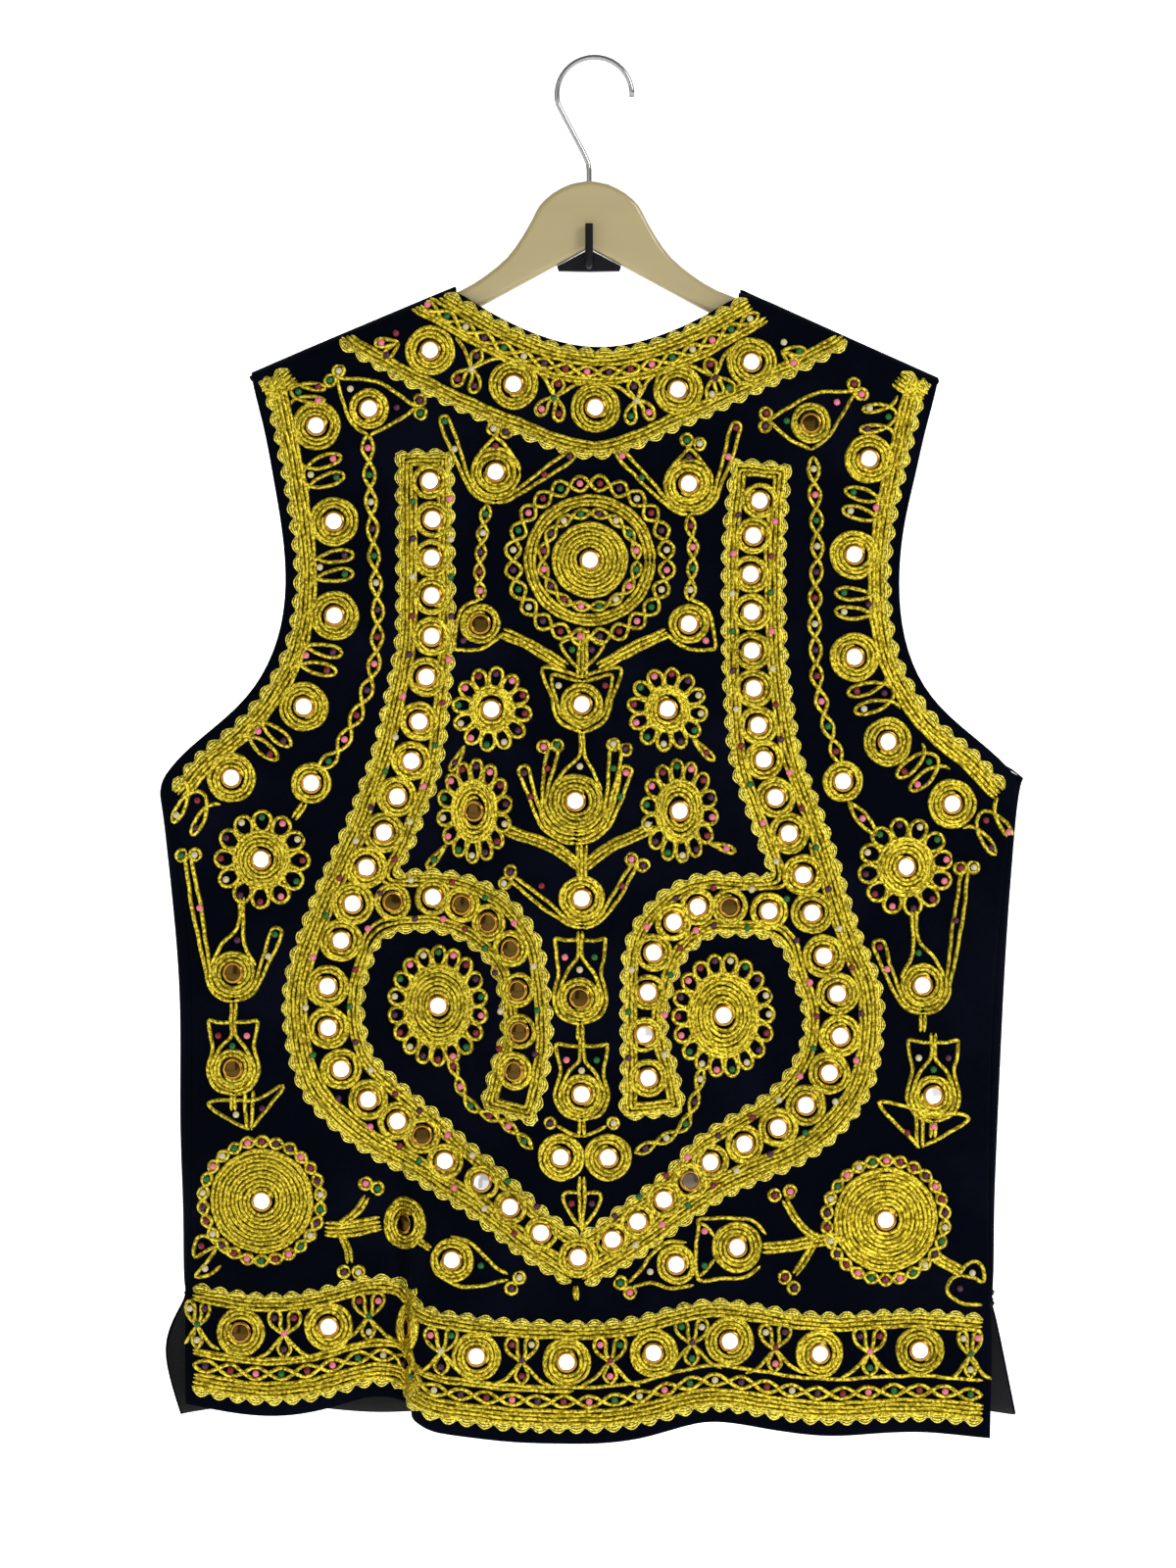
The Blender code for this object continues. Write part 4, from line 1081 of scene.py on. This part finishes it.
for spot, tips in (((-52, -231), ((-29, 29), (42, 9))), ((55.5, -237.5), ((-38, 16), (27, 32)))):
    middle.disc(spot, 12.0)
    middle.cord(middle.put(ring(13.2), spot))
    for side, tip in zip((-1, 1), tips):
        middle.arm(spot, side, 14.0, tip, eye=2.8)
    middle.buds(np.add(spot, (1.5, 20)), 75)
    for side in (-1, 1):
        middle.draw([(13, 2), (9, 10), (3, 17), (-1.5, 21)], spot, lift=0.3, side=side)
    middle.bead(np.add(spot, (0, 14.5)))
for top, drop, lean in (((-57, -249), (-60.5, -315.5), 1), ((56, -255), (55.5, -315.5), -1)):
    middle.chain(curve([top, ((top[0] + drop[0]) / 2 - 2 * lean, -280), np.add(drop, (0, 13))]), lens=11.5,
                 swing=2.6)
    middle.disc(drop, 11.5, dim=0.8 if lean > 0 else 0.0)
    elbow = np.add(drop, (-13 * lean, -12))
    middle.draw([np.add(drop, (0, 14)), np.add(drop, (-11 * lean, 7)), elbow + [-1.5 * lean, 1],
                 elbow + [1.5 * lean, -2.2], np.add(drop, (2 * lean, -13.5)), np.add(drop, (13 * lean, -5))])
    middle.bead(elbow + [3.6 * lean, 2.6])
    middle.stem([np.add(drop, (12 * lean, -5)), np.add(drop, (28 * lean, -12)), (-3.8 + -9 * lean, -340)], 3)

COLUMN = -4.0
middle.stem([(COLUMN + 1, -318), (COLUMN, -346)], 3)
for side in (-1, 1):
    middle.draw([(0, -342), (7, -335), (12, -327), (7, -324), (1, -324)], side=side, x=COLUMN)
    middle.bead((COLUMN + side * 5.5, -330))
    middle.draw([(0, -345.5), (12, -341), (22, -341), (17, -356), (13, -369), (0, -376.5)], side=side, x=COLUMN)
    middle.draw([(0, -348), (9, -345.5), (17, -344), (14.5, -356), (11, -367), (0, -373.8)], side=side,
                x=COLUMN)
    middle.bead((COLUMN + side * 13, -350))
middle.disc((COLUMN, -360.5), 12.4)
big = (-7.5, -414)
middle.disc(big, 15.5)
for side in (-1, 1):
    middle.draw([(COLUMN + side * 1.1, -376), (COLUMN + side * 1.3, -388), (COLUMN - 2 + side * 9, -399),
                 (COLUMN - 3 + side * 14, -408)])
middle.bead((COLUMN - 1, -395))
for side in (-1, 1):
    middle.arm(big, side, 15.5, ((13.5 if side < 0 else 23), 27), order=0, bead=False)
    middle.arm(big, side, 15.5, (29, 16), order=1, eye=3.6)
    middle.buds(np.add(big, (-13.5 if side < 0 else 23, 27)), 97 if side < 0 else 68)
    middle.bead(np.add(big, (-15.5 if side < 0 else 21, 18)))
middle.disc((COLUMN, -468), 13.0)
for side, tip in ((-1, (-38, 10)), (1, (29, 17))):
    middle.arm((COLUMN, -468), side, 13.0, tip, bead=False, eye=1.6)
    middle.buds(np.add((COLUMN, -468), tip), 152 if side < 0 else 62)
    middle.bead((COLUMN + side * 22, -461))
    middle.stem([(COLUMN + side * 1.5, -450), (COLUMN + side * 15, -440),
                 ((-46, -430) if side < 0 else (36, -428))], 3)
middle.stem([(COLUMN, -438), (COLUMN, -457)], 3)


def vase(work, centre, radius=11.5, height=33.0, half_top=14.2, dim=0.0):
    """A disc in a vase: an outline hugs it and rises to a straight lip, and a stem parts round it."""
    work.disc(centre, radius, dim)
    r = radius + 1.0
    for side in (-1, 1):
        work.draw([(0, -r - PITCH), (0.72 * (r + PITCH), -0.7 * (r + PITCH)), (r + PITCH, 0.0),
                   (0.95 * r, 0.42 * height), (half_top - 1, 0.7 * height), (half_top, height - 0.6),
                   (half_top - 0.8, height), (0.5 * half_top, height - 1.2), (0, height - 1.2)], centre,
                  side=side)
        work.draw([(0, -r), (0.72 * r, -0.7 * r), (r, 0.0), (0.72 * r, 0.7 * r)], centre, side=side)
        work.draw([(1.2, height + 4), (1.2, 0.72 * height), (3.4, 0.58 * height), (7.5, 0.42 * height),
                   (r, 0.12 * r)], centre, lift=0.3, side=side)
        work.bead(work.put([(side * 8.2, 0.68 * height)], centre)[0])
        work.cord(work.put([(side * 1.2, -radius - 3), (side * 1.2, -radius - 12)], centre))
    work.bead(work.put([(0, 0.47 * height)], centre)[0])


vase(middle, (-5, -523), dim=0.9)
vase(middle, (COLUMN, -576.5), height=28)
for side, x in ((-1, -15.5), (1, 10.5)):
    middle.disc((x, -611.5), 13.4, start=1.6)
    middle.eyelet((COLUMN + side * 17.5, -592.5), 3.3)
    middle.draw([(14, -594), (6, -598), (0, -600)], side=side, x=COLUMN)
    middle.draw([(1, -622), (1.5, -636), (0, -653)], side=side, x=COLUMN)
    middle.draw([(0, -651), (5, -645), (10.5, -635), (9, -631), (1, -631.5)], side=side, x=COLUMN)
    middle.bead((COLUMN + side * 5.6, -637))
for side, points in ((-1, [(-78, -556), (-66, -583), (-48, -592), (-31, -607)]),
                     (1, [(63, -562), (55, -590), (44, -600), (25, -609)])):
    middle.chain(curve(points), lens=12, swing=2.3)

middle.flower((-54, -363), 13.2, 23.2, 12, stretch=(1.0, 1.05))
middle.flower((43.5, -363), 13.2, 23.2, 12, stretch=(1.0, 1.05))
middle.flower((-63.5, -419.5), 15.5, 25.0, 14, dim=0.95, stretch=(0.92, 1.2))
middle.flower((50, -419.5), 15.5, 25.0, 14, stretch=(0.9, 1.19))
middle.flower((-84, -528), 22.4, 32.2, 18, stretch=(0.89, 1.07))
middle.flower((74.5, -533), 22.4, 32.2, 18, stretch=(0.92, 1.1))
for base, tip in (((-69, -383), (-77, -397)), ((57, -379), (69, -391)), ((66, -437), (81, -442)),
                  ((-79, -438), (-90, -451))):
    middle.leaf(base, tip, 6.4)

# Side columns
CHAIN_LEFT = [(-123.5, -210), (-120, -272), (-117.5, -315), (-122, -348), (-139, -385), (-151, -396)]
CHAIN_RIGHT = [(124.5, -222), (127, -272), (125.5, -305), (127, -348), (135, -380), (140, -393)]
for side, line in ((-1, CHAIN_LEFT), (1, CHAIN_RIGHT)):
    sides.chain(curve(line), lens=15.0, swing=3.1)
sides.disc((-154.5, -404), 11.6)
sides.disc((141, -403), 11.6)
sides.stem([(-158, -415), (-164, -424)], 2)
sides.chain(curve([(144, -414), (152, -424), (160, -433)]), lens=18, swing=3)
for spot, out, near in (((-122.5, -195.5), (-21, 20), (31, 1)), ((123.5, -203.5), (29, 21), (-27, 2))):
    sides.disc(spot, 11.5, dim=0.0 if spot[0] < 0 else 0.85)
    for tip in (out, near):
        sides.buds(np.add(spot, np.array(tip) * 0.82), math.degrees(math.atan2(tip[1], tip[0])), 3.6, 3.0)
    far_end, near_end = np.array(out) * 0.86, np.array(near) * 0.86
    sides.draw([far_end, (far_end + near_end) / 2 + [0, 6], near_end], spot)
    sides.draw([far_end, (np.sign(far_end[0]) * 11, -6), (0, -15)], spot)
    sides.draw([near_end, (np.sign(near_end[0]) * 12, -9), (0, -15)], spot)
    sides.bead(np.add(spot, np.array(out) * 0.5 + [0, 1]))
    sides.bead(np.add(spot, np.array(near) * 0.5 + [0, 0]))

sides.flower((-182, -446.5), 17.0, 28.0, 12)
sides.flower((176, -450.5), 17.0, 28.0, 12)
for spot, far in (((-198, -509.5), -1), ((185.5, -516.5), 1)):
    sides.disc(spot, 12.5, dim=0.9 if far < 0 else 0.15)
    sides.arm(spot, far, 12.5, (26 if far < 0 else 24, 62), bead=False, eye=1.8)
    sides.buds(np.add(spot, (far * 25, 62)), 92)
    sides.bead(np.add(spot, (far * 18.5, 36)))
    sides.arm(spot, -far, 12.5, (25, 22), eye=3.6)
    for s in (-1, 1):
        sides.draw([np.add(spot, (-far * 5 + s, 42)), np.add(spot, (-far * 4 + s * 1.5, 26)),
                    np.add(spot, (s * 6, 16)), np.add(spot, (s * 12.5, 4))], lift=0.3)
    sides.bead(np.add(spot, (-far * 2.5, 18)))
    sides.stem([np.add(spot, (0, -16)), np.add(spot, (0, -26))], 2)
vase(sides, (-198, -563), height=27, dim=0.8)
vase(sides, (191.5, -578), height=31, dim=0.3)
for apex, flip in (((-189, -597), 1), ((184, -607), 1)):
    shape = turned([(0, 0), (-21, 11.5), (-20.5, 16), (3.5, 17), (17.5, 24.5), (17, 20.5), (1, 1)], 0,
                   mirror=flip)
    if apex[0] > 0:
        shape = np.array([(0, 0), (-21, 22), (-20, 26), (4, 20), (25, 18), (24.5, 13), (2, 1)], float)
    sides.cord(even(curve(shape, 5)) + apex)
    sides.cord(np.array([(-1.5, 0), (-2.5, 22)]) + apex)
    sides.cord(np.array([(1.5, 0), (2.0, 22)]) + apex)
    for bead_at in ((-7, 8.5), (7.5, 12)):
        sides.bead(np.add(apex, bead_at))
for hub, count in (((-182, -636.5), 26), ((165, -647), 26)):
    sides.disc(hub, 29.4, start=0.3)
    sides.chain(sides.put(ring(33.2, 1.2), hub), lens=8.4, swing=2.7, closed=True)

# Sprays between the wheels and the point of the teardrop
foot.stem([(-147, -652), (-134, -652), (-116, -649)], 4)
foot.stem([(-141, -651), (-130, -643), (-123.5, -634)], 2)
foot.buds((-122.5, -631), 66, 3.6, 3.2)
foot.stem([(-139, -653), (-135, -662), (-133, -671)], 2)
foot.buds((-132.5, -672.5), -92, 3.9, 3.4)
foot.disc((-102.5, -649), 15, dim=0.9)
foot.disc((-76, -669), 12.5)
foot.stem([(-95, -658), (-88, -663)], 2)
for s in (-1, 1):
    foot.draw([(-77, -656) if s > 0 else (-84, -676), (-66, -659) if s > 0 else (-74, -682.5),
               (-54, -671) if s > 0 else (-60, -683), (-45, -678 + s * 1.5)])
foot.bead((-60, -672))
foot.buds((-43, -680), -35, 3.8, 2.6)
foot.stem([(142, -656), (128, -658), (112, -661), (96, -662)], 3)
foot.stem([(128, -657), (120, -652), (112, -642), (108.5, -635)], 2)
foot.buds((108, -634.5), 104, 4.3, 2.6)
foot.stem([(125, -659), (121, -667), (114, -677)], 2)
foot.buds((113, -679.5), -138, 4.0, 2.6)
foot.disc((82, -661.5), 14.4)
foot.draw([(98, -655), (92, -647.5), (84, -645.5), (72, -645.5), (61, -646), (60.5, -650), (59.5, -662),
           (59.5, -676), (62, -680), (74, -678.5), (86, -678.5), (95, -672)])
for line in (((61.5, -648), (66, -651), (69.5, -656)), ((61, -678), (66, -673), (69.5, -668))):
    foot.draw(line)
for z in (-652.5, -671.5):
    foot.bead((64, z))
foot.disc((48.5, -671), 11.5)
foot.draw([(54, -659), (44, -658.5), (36, -664), (29, -674), (22, -681)])
foot.draw([(58, -682), (46, -684.5), (34, -681), (24, -684)])
foot.bead((34, -675))
foot.buds((22, -682), 225, 3.8, 2.6)
foot.stem([(192, -667), (200, -672), (208, -677)], 3)
foot.draw([(207, -678), (209, -673.5), (215, -670.5), (219.5, -674), (219.5, -682), (214, -679.5), (207, -678)])
foot.draw([(207, -677.5), (201, -680.5), (199.5, -688), (208, -693.5), (219, -695)])
foot.stem([(-197, -668), (-206, -662)], 2)
foot.draw([(-206, -662), (-213, -656.5), (-218.5, -658), (-219.5, -668), (-212, -664), (-206, -662)])
foot.draw([(-207, -663), (-213, -671), (-219.5, -679), (-211, -677.5), (-205, -672.5)])
for spot in ((213, -677), (206, -685.5), (-215.5, -662), (-213.5, -674.5)):
    foot.bead(spot)
bands.stem([(-7.5, -683), (-7, -691)], 2, 1.4)

# Hem
HEM_LINE = edge_curve("back_panel", lambda x, z: z < -742, 0)
HEM_LINE = even(HEM_LINE[::2], 2.0)
hem_span = HEM_LINE[(HEM_LINE[:, 0] > -222) & (HEM_LINE[:, 0] < 221)]


def over_hem(height):
    return hem_span + [0, height]


foot.cords_beside(over_hem(62.5), (-3.4, -1.0, 1.4))
foot.lace(over_hem(64.5), 0.2, 4.6)
foot.cord(over_hem(31.5))
foot.cord(over_hem(29.3)[: len(hem_span) // 2])
foot.chain(over_hem(23.5), lens=14.2, swing=3.0)
foot.cords_beside(over_hem(14.5), (-3.6, -1.2, 1.2, 3.6))
foot.lace(over_hem(11.0), -0.2, -5.4)
HEM_DISCS = [(-194, 0.9), (-145, 0), (-101, 0.9), (-62.5, 0), (-12.5, 0), (36, 0), (78, 0), (128, 0), (184, 0)]
for x, dim in HEM_DISCS:
    foot.disc((x, height_at(HEM_LINE, x) + 45.5), 13.9, dim)
gaps = [-218, *[(a[0] + b[0]) / 2 for a, b in zip(HEM_DISCS[:-1], HEM_DISCS[1:])], 212]
for x in gaps:
    base = height_at(HEM_LINE, x) + 45
    foot.knot((x, base), 13.8, narrow=1.0 if -210 < x < 205 else 0.75)

# ---------------------------------------------------------------- the plain trims of the front

front = Needlework(front_cloth)
for side, panel in ((-1, "front_panel_left"), (1, "front_panel_right")):
    low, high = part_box("front_edge_braid_" + panel.split("_")[-1])
    near = 11.5  # from the middle to the line of the front-edge braid
    neck_x = abs(high.x if side > 0 else low.x) / MM
    vee_foot, top = -362.0, high.z / MM
    share = np.linspace(0, 1, 12)
    rise = np.stack([side * (near + 4 + (neck_x - near - 10) * share**0.85),
                     vee_foot + (top - vee_foot) * share], axis=1)
    line = even(np.vstack([[(side * near, z) for z in np.linspace(-676, vee_foot - 10, 8)], curve(rise)]), 2.0)
    front.cords_beside(line, [-side * d for d in (1.2, -1.2, -3.6)])
    front.lace(line, side * 1.8, side * 6.0)
    front.lace(line, -side * 4.4, -side * 8.4)
    edge = edge_curve(panel, lambda x, z: abs(x) > 140 and z > -398, 1)
    edge = edge[edge[:, 1] < -190]
    arm_line = even(curve(edge[::5]), 2.0)
    front.cords_beside(arm_line, [side * d for d in (11.0, 13.4, 15.8, 18.2)])
    front.lace(arm_line, side * 10.2, side * 5.6)
    span = np.linspace(7, 226, 110)
    hem = edge_curve(panel, lambda x, z: z < -735, 0)
    hem_z = np.interp(side * span, hem[:, 0], hem[:, 1])
    hem_points = np.stack([side * span, hem_z], axis=1)[::side]
    for height, rows in ((64.5, (-3.4, -1.0, 1.4)), (14.5, (-3.6, -1.2, 1.2, 3.6))):
        front.cords_beside(hem_points + [0, height], rows)
    front.lace(hem_points + [0, 66.5], 0.2, 4.8)
    front.lace(hem_points + [0, 11.0], -0.2, -5.4)
    front.chain(hem_points + [0, 25], lens=11.6, swing=2.7)
    front.cord(hem_points + [0, 33.5])
    for x in np.linspace(26, 208, 5):
        front.disc((side * x, height_at(hem, side * x) + 47), 13.4)

# ---------------------------------------------------------------- stitched pieces

PIECES = {
    "yoke_embroidery": (yoke, ["neck_braid", "yoke_braid"]),
    "armhole_embroidery": (arms, ["armhole_braid_left", "armhole_braid_right"]),
    "teardrop_embroidery": (bands, ["teardrop_band_left", "teardrop_band_right",
                                    "curl_band_left", "curl_band_right"]),
    "middle_embroidery": (middle, ["sun_medallion", "upper_flower_left", "upper_flower_right",
                                   "lower_flower_left", "lower_flower_right",
                                   "curl_flower_left", "curl_flower_right"]),
    "side_embroidery": (sides, ["side_flower_left", "side_flower_right", "wheel_left", "wheel_right"]),
    "hem_embroidery": (foot, ["hem_braid_upper", "hem_braid_lower"]),
    "front_embroidery": (front, [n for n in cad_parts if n.startswith("front_") and "braid" in n]),
}
stitched = {"back": [], "front": []}


def stitch(word, name, points, faces, finish, **more):
    """Adds one stitched piece to those of the back or the front."""
    stitched[word].append(finish_piece(new_mesh(name, points, faces, **more), "gold_cord", finish))
    return stitched[word][-1]


for name, (work, stands_for) in PIECES.items():
    word = "front" if work is front else "back"
    points, faces, uv, tone = joined(work.cord_parts())
    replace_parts(stitch(word, name, points, faces, GOLD, uv=uv, values={"tone": tone}), *stands_for)
    if work.laces:
        points, faces, uv, tone = joined(work.lace_parts())
        stitch(word, name.replace("embroidery", "lace"), points, faces, LACE, uv=uv, values={"tone": tone})

BALL_ROWS, BALL_AROUND = 7, 10
half_turn = np.linspace(0, math.pi, BALL_ROWS)
BALL = rings(np.sin(half_turn), 0.85 * np.cos(half_turn), BALL_AROUND)
# a mirror domes by a third of a millimetre: four rings, the first shrunk to a point
MIRROR_AROUND = 24
GLASS = rings(MIRROR * np.array([0.02, 0.4, 0.75, 1.0]), [0.95, 0.9, 0.75, 0.5], MIRROR_AROUND)
# its rim is round wire bent into a ring, two turns side by side: radius, and height of the wire's middle
WIRE_RADIUS, WIRE_AROUND = 0.62, 6
RIM_TURNS = {"_mirror_rims_upper": (MIRROR + 0.35, 0.75), "_mirror_rims_lower": (MIRROR + 0.85, 0.25)}
around_wire = np.linspace(0, 2 * math.pi, WIRE_AROUND + 1)

for word, works in (("back", (yoke, arms, bands, middle, sides, foot)), ("front", (front,))):
    cloth = works[0].cloth
    beads = np.array([b for w in works for b in w.beads])
    points, faces = copies(BALL, grid_faces(BALL_ROWS, BALL_AROUND, wrap=True),
                           *cloth.stand(beads[:, :2], 0.8 * BEAD), BEAD)
    shade = np.repeat(np.array(list(SHADES.values()))[beads[:, 2].astype(int)], len(BALL), axis=0)
    stitch(word, word + "_beads", points, faces, BEADS, colours={"shade": shade})

    mirrors = np.array([m for w in works for m in w.mirrors])
    stands = cloth.stand(mirrors[:, :2], 0.75 + mirrors[:, 3])
    points, faces = copies(GLASS, grid_faces(4, MIRROR_AROUND, wrap=True), *stands, 1.0)
    dim = np.repeat(mirrors[:, 2], len(GLASS))
    stitch(word, word + "_mirrors", points, faces, MIRROR_GLASS, values={"dim": dim})
    for turn, (reach, level) in RIM_TURNS.items():
        tube = rings(reach + WIRE_RADIUS * np.cos(around_wire), level + WIRE_RADIUS * np.sin(around_wire),
                     MIRROR_AROUND)
        # the last row of the tube is its first row again
        tube_faces = grid_faces(WIRE_AROUND + 1, MIRROR_AROUND, wrap=True) % (WIRE_AROUND * MIRROR_AROUND)
        points, faces = copies(tube[: WIRE_AROUND * MIRROR_AROUND], tube_faces, *stands, 1.0)
        stitch(word, word + turn, points, faces, WIRE)

for panel in PANELS:
    velvet_panel(panel)

# ---------------------------------------------------------------- hanger


def smooth_copy(node_name, name, finish, slot_name, width):
    """A finer copy of a hard part, smooth shaded, its edges rounded a little more when a width is given."""
    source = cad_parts[node_name]
    piece = bpy.data.objects.new(name, source.data.copy())
    bpy.context.scene.collection.objects.link(piece)
    bm = bmesh.new()
    bm.from_mesh(piece.data)
    bmesh.ops.remove_doubles(bm, verts=bm.verts, dist=MERGE)
    bmesh.ops.dissolve_limit(bm, angle_limit=math.radians(1.5), verts=bm.verts, edges=bm.edges)
    for f in bm.faces:
        f.smooth = True
    bm.to_mesh(piece.data)
    bm.free()
    piece.data.materials.clear()
    if width:
        edge = piece.modifiers.new("edge", "BEVEL")
        edge.width = width
        edge.segments = 3
        edge.limit_method = "ANGLE"
        edge.angle_limit = math.radians(50)
    flow = piece.modifiers.new("flow", "WEIGHTED_NORMAL")
    flow.keep_sharp = True
    finish_piece(piece, slot_name, finish)
    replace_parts(piece, node_name)


smooth_copy("hanger_bar", "wooden_hanger_bar", WOOD, "wood", 0)
smooth_copy("hanger_hook", "wire_hook", STEEL, "steel", 0)
smooth_copy("accessory_hook", "black_accessory_hook", PLASTIC, "plastic", 0.4 * MM)

# ---------------------------------------------------------------- stage, light, camera

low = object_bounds()[0]
floor_z = low.z - 0.16
# a sweep of paper: floor, then a quarter circle, then an upright wall, as (y, z)
BEND, BEND_Y = 0.6, 0.8
arc = np.linspace(0, math.pi / 2, 12)[1:]
profile = np.array([(-6.0, floor_z), (BEND_Y, floor_z),
                    *[(BEND_Y + BEND * math.sin(t), floor_z + BEND * (1 - math.cos(t))) for t in arc],
                    (BEND_Y + BEND, floor_z + 5.0)])
across = np.linspace(-6, 6, 5)
sweep_points = np.column_stack([np.repeat(across, len(profile)), np.tile(profile, (len(across), 1))])
sweep = new_mesh("backdrop", sweep_points, grid_faces(len(across), len(profile))[:, ::-1])
paper, tree, shader = material("backdrop_paper", 0.9, Specular_IOR_Level=0.0,
                               Emission_Color=(1, 1, 1, 1), Emission_Strength=0.78)
paint(tree, shader, blend(tree, noise(tree, 3.0), (0.93, 0.93, 0.93), (0.95, 0.95, 0.95)))
# the paper shows on its lit side only, so the object is seen through it from behind
back_side = node(tree, "NewGeometry").outputs["Backfacing"]
clear = node(tree, "BsdfTransparent").outputs[0]
one_sided = node(tree, "MixShader", {0: back_side, 1: shader.outputs[0], 2: clear}).outputs[0]
tree.links.new(one_sided, tree.nodes["Material Output"].inputs["Surface"])
sweep.data.materials.append(paper)

# the room lights softly, and shows as white past the paper's edges
world = bpy.data.worlds.new("studio")
bpy.context.scene.world = world
world.use_nodes = True
room = world.node_tree.nodes["Background"]
room.inputs["Color"].default_value = (1, 1, 1, 1)
seen = node(world.node_tree, "LightPath").outputs["Is Camera Ray"]
world.node_tree.links.new(spread(world.node_tree, seen, 0.0, 1.0, 0.31, 1.0, "LINEAR"), room.inputs["Strength"])


def softbox(name, place, size, power):
    """A rectangular light aimed at the middle of the garment."""
    lamp = bpy.data.lights.new(name, "AREA")
    lamp.shape = "RECTANGLE"
    lamp.size, lamp.size_y = size
    lamp.energy = power
    holder = bpy.data.objects.new(name, lamp)
    holder.location = place
    holder.rotation_euler = (Vector((0, 0, -0.4)) - Vector(place)).to_track_quat("-Z", "Y").to_euler()
    bpy.context.scene.collection.objects.link(holder)


softbox("key", (1.6, -1.7, 0.9), (0.8, 0.8), 32)
softbox("fill", (-1.7, -1.9, 0.1), (1.2, 1.6), 9)
softbox("front", (0.0, -5.4, -0.4), (3.4, 3.4), 27)
softbox("back_fill", (0.0, 1.0, 0.9), (2.0, 0.8), 8)

FRAME_HEIGHT = 0.8736  # what the frame's height covers at the garment's back
DISTANCE = 4.6
SENSOR = 36.0
camera_data = bpy.data.cameras.new("camera")
camera_data.lens = SENSOR * DISTANCE / FRAME_HEIGHT
camera_data.sensor_width = SENSOR
camera = bpy.data.objects.new("camera", camera_data)
camera.location = (-0.0006, -DISTANCE - 0.012, -0.4045)
camera.rotation_euler = (math.radians(90), 0, 0)
bpy.context.scene.collection.objects.link(camera)
bpy.context.scene.camera = camera
bpy.context.scene.view_settings.view_transform = "Standard"
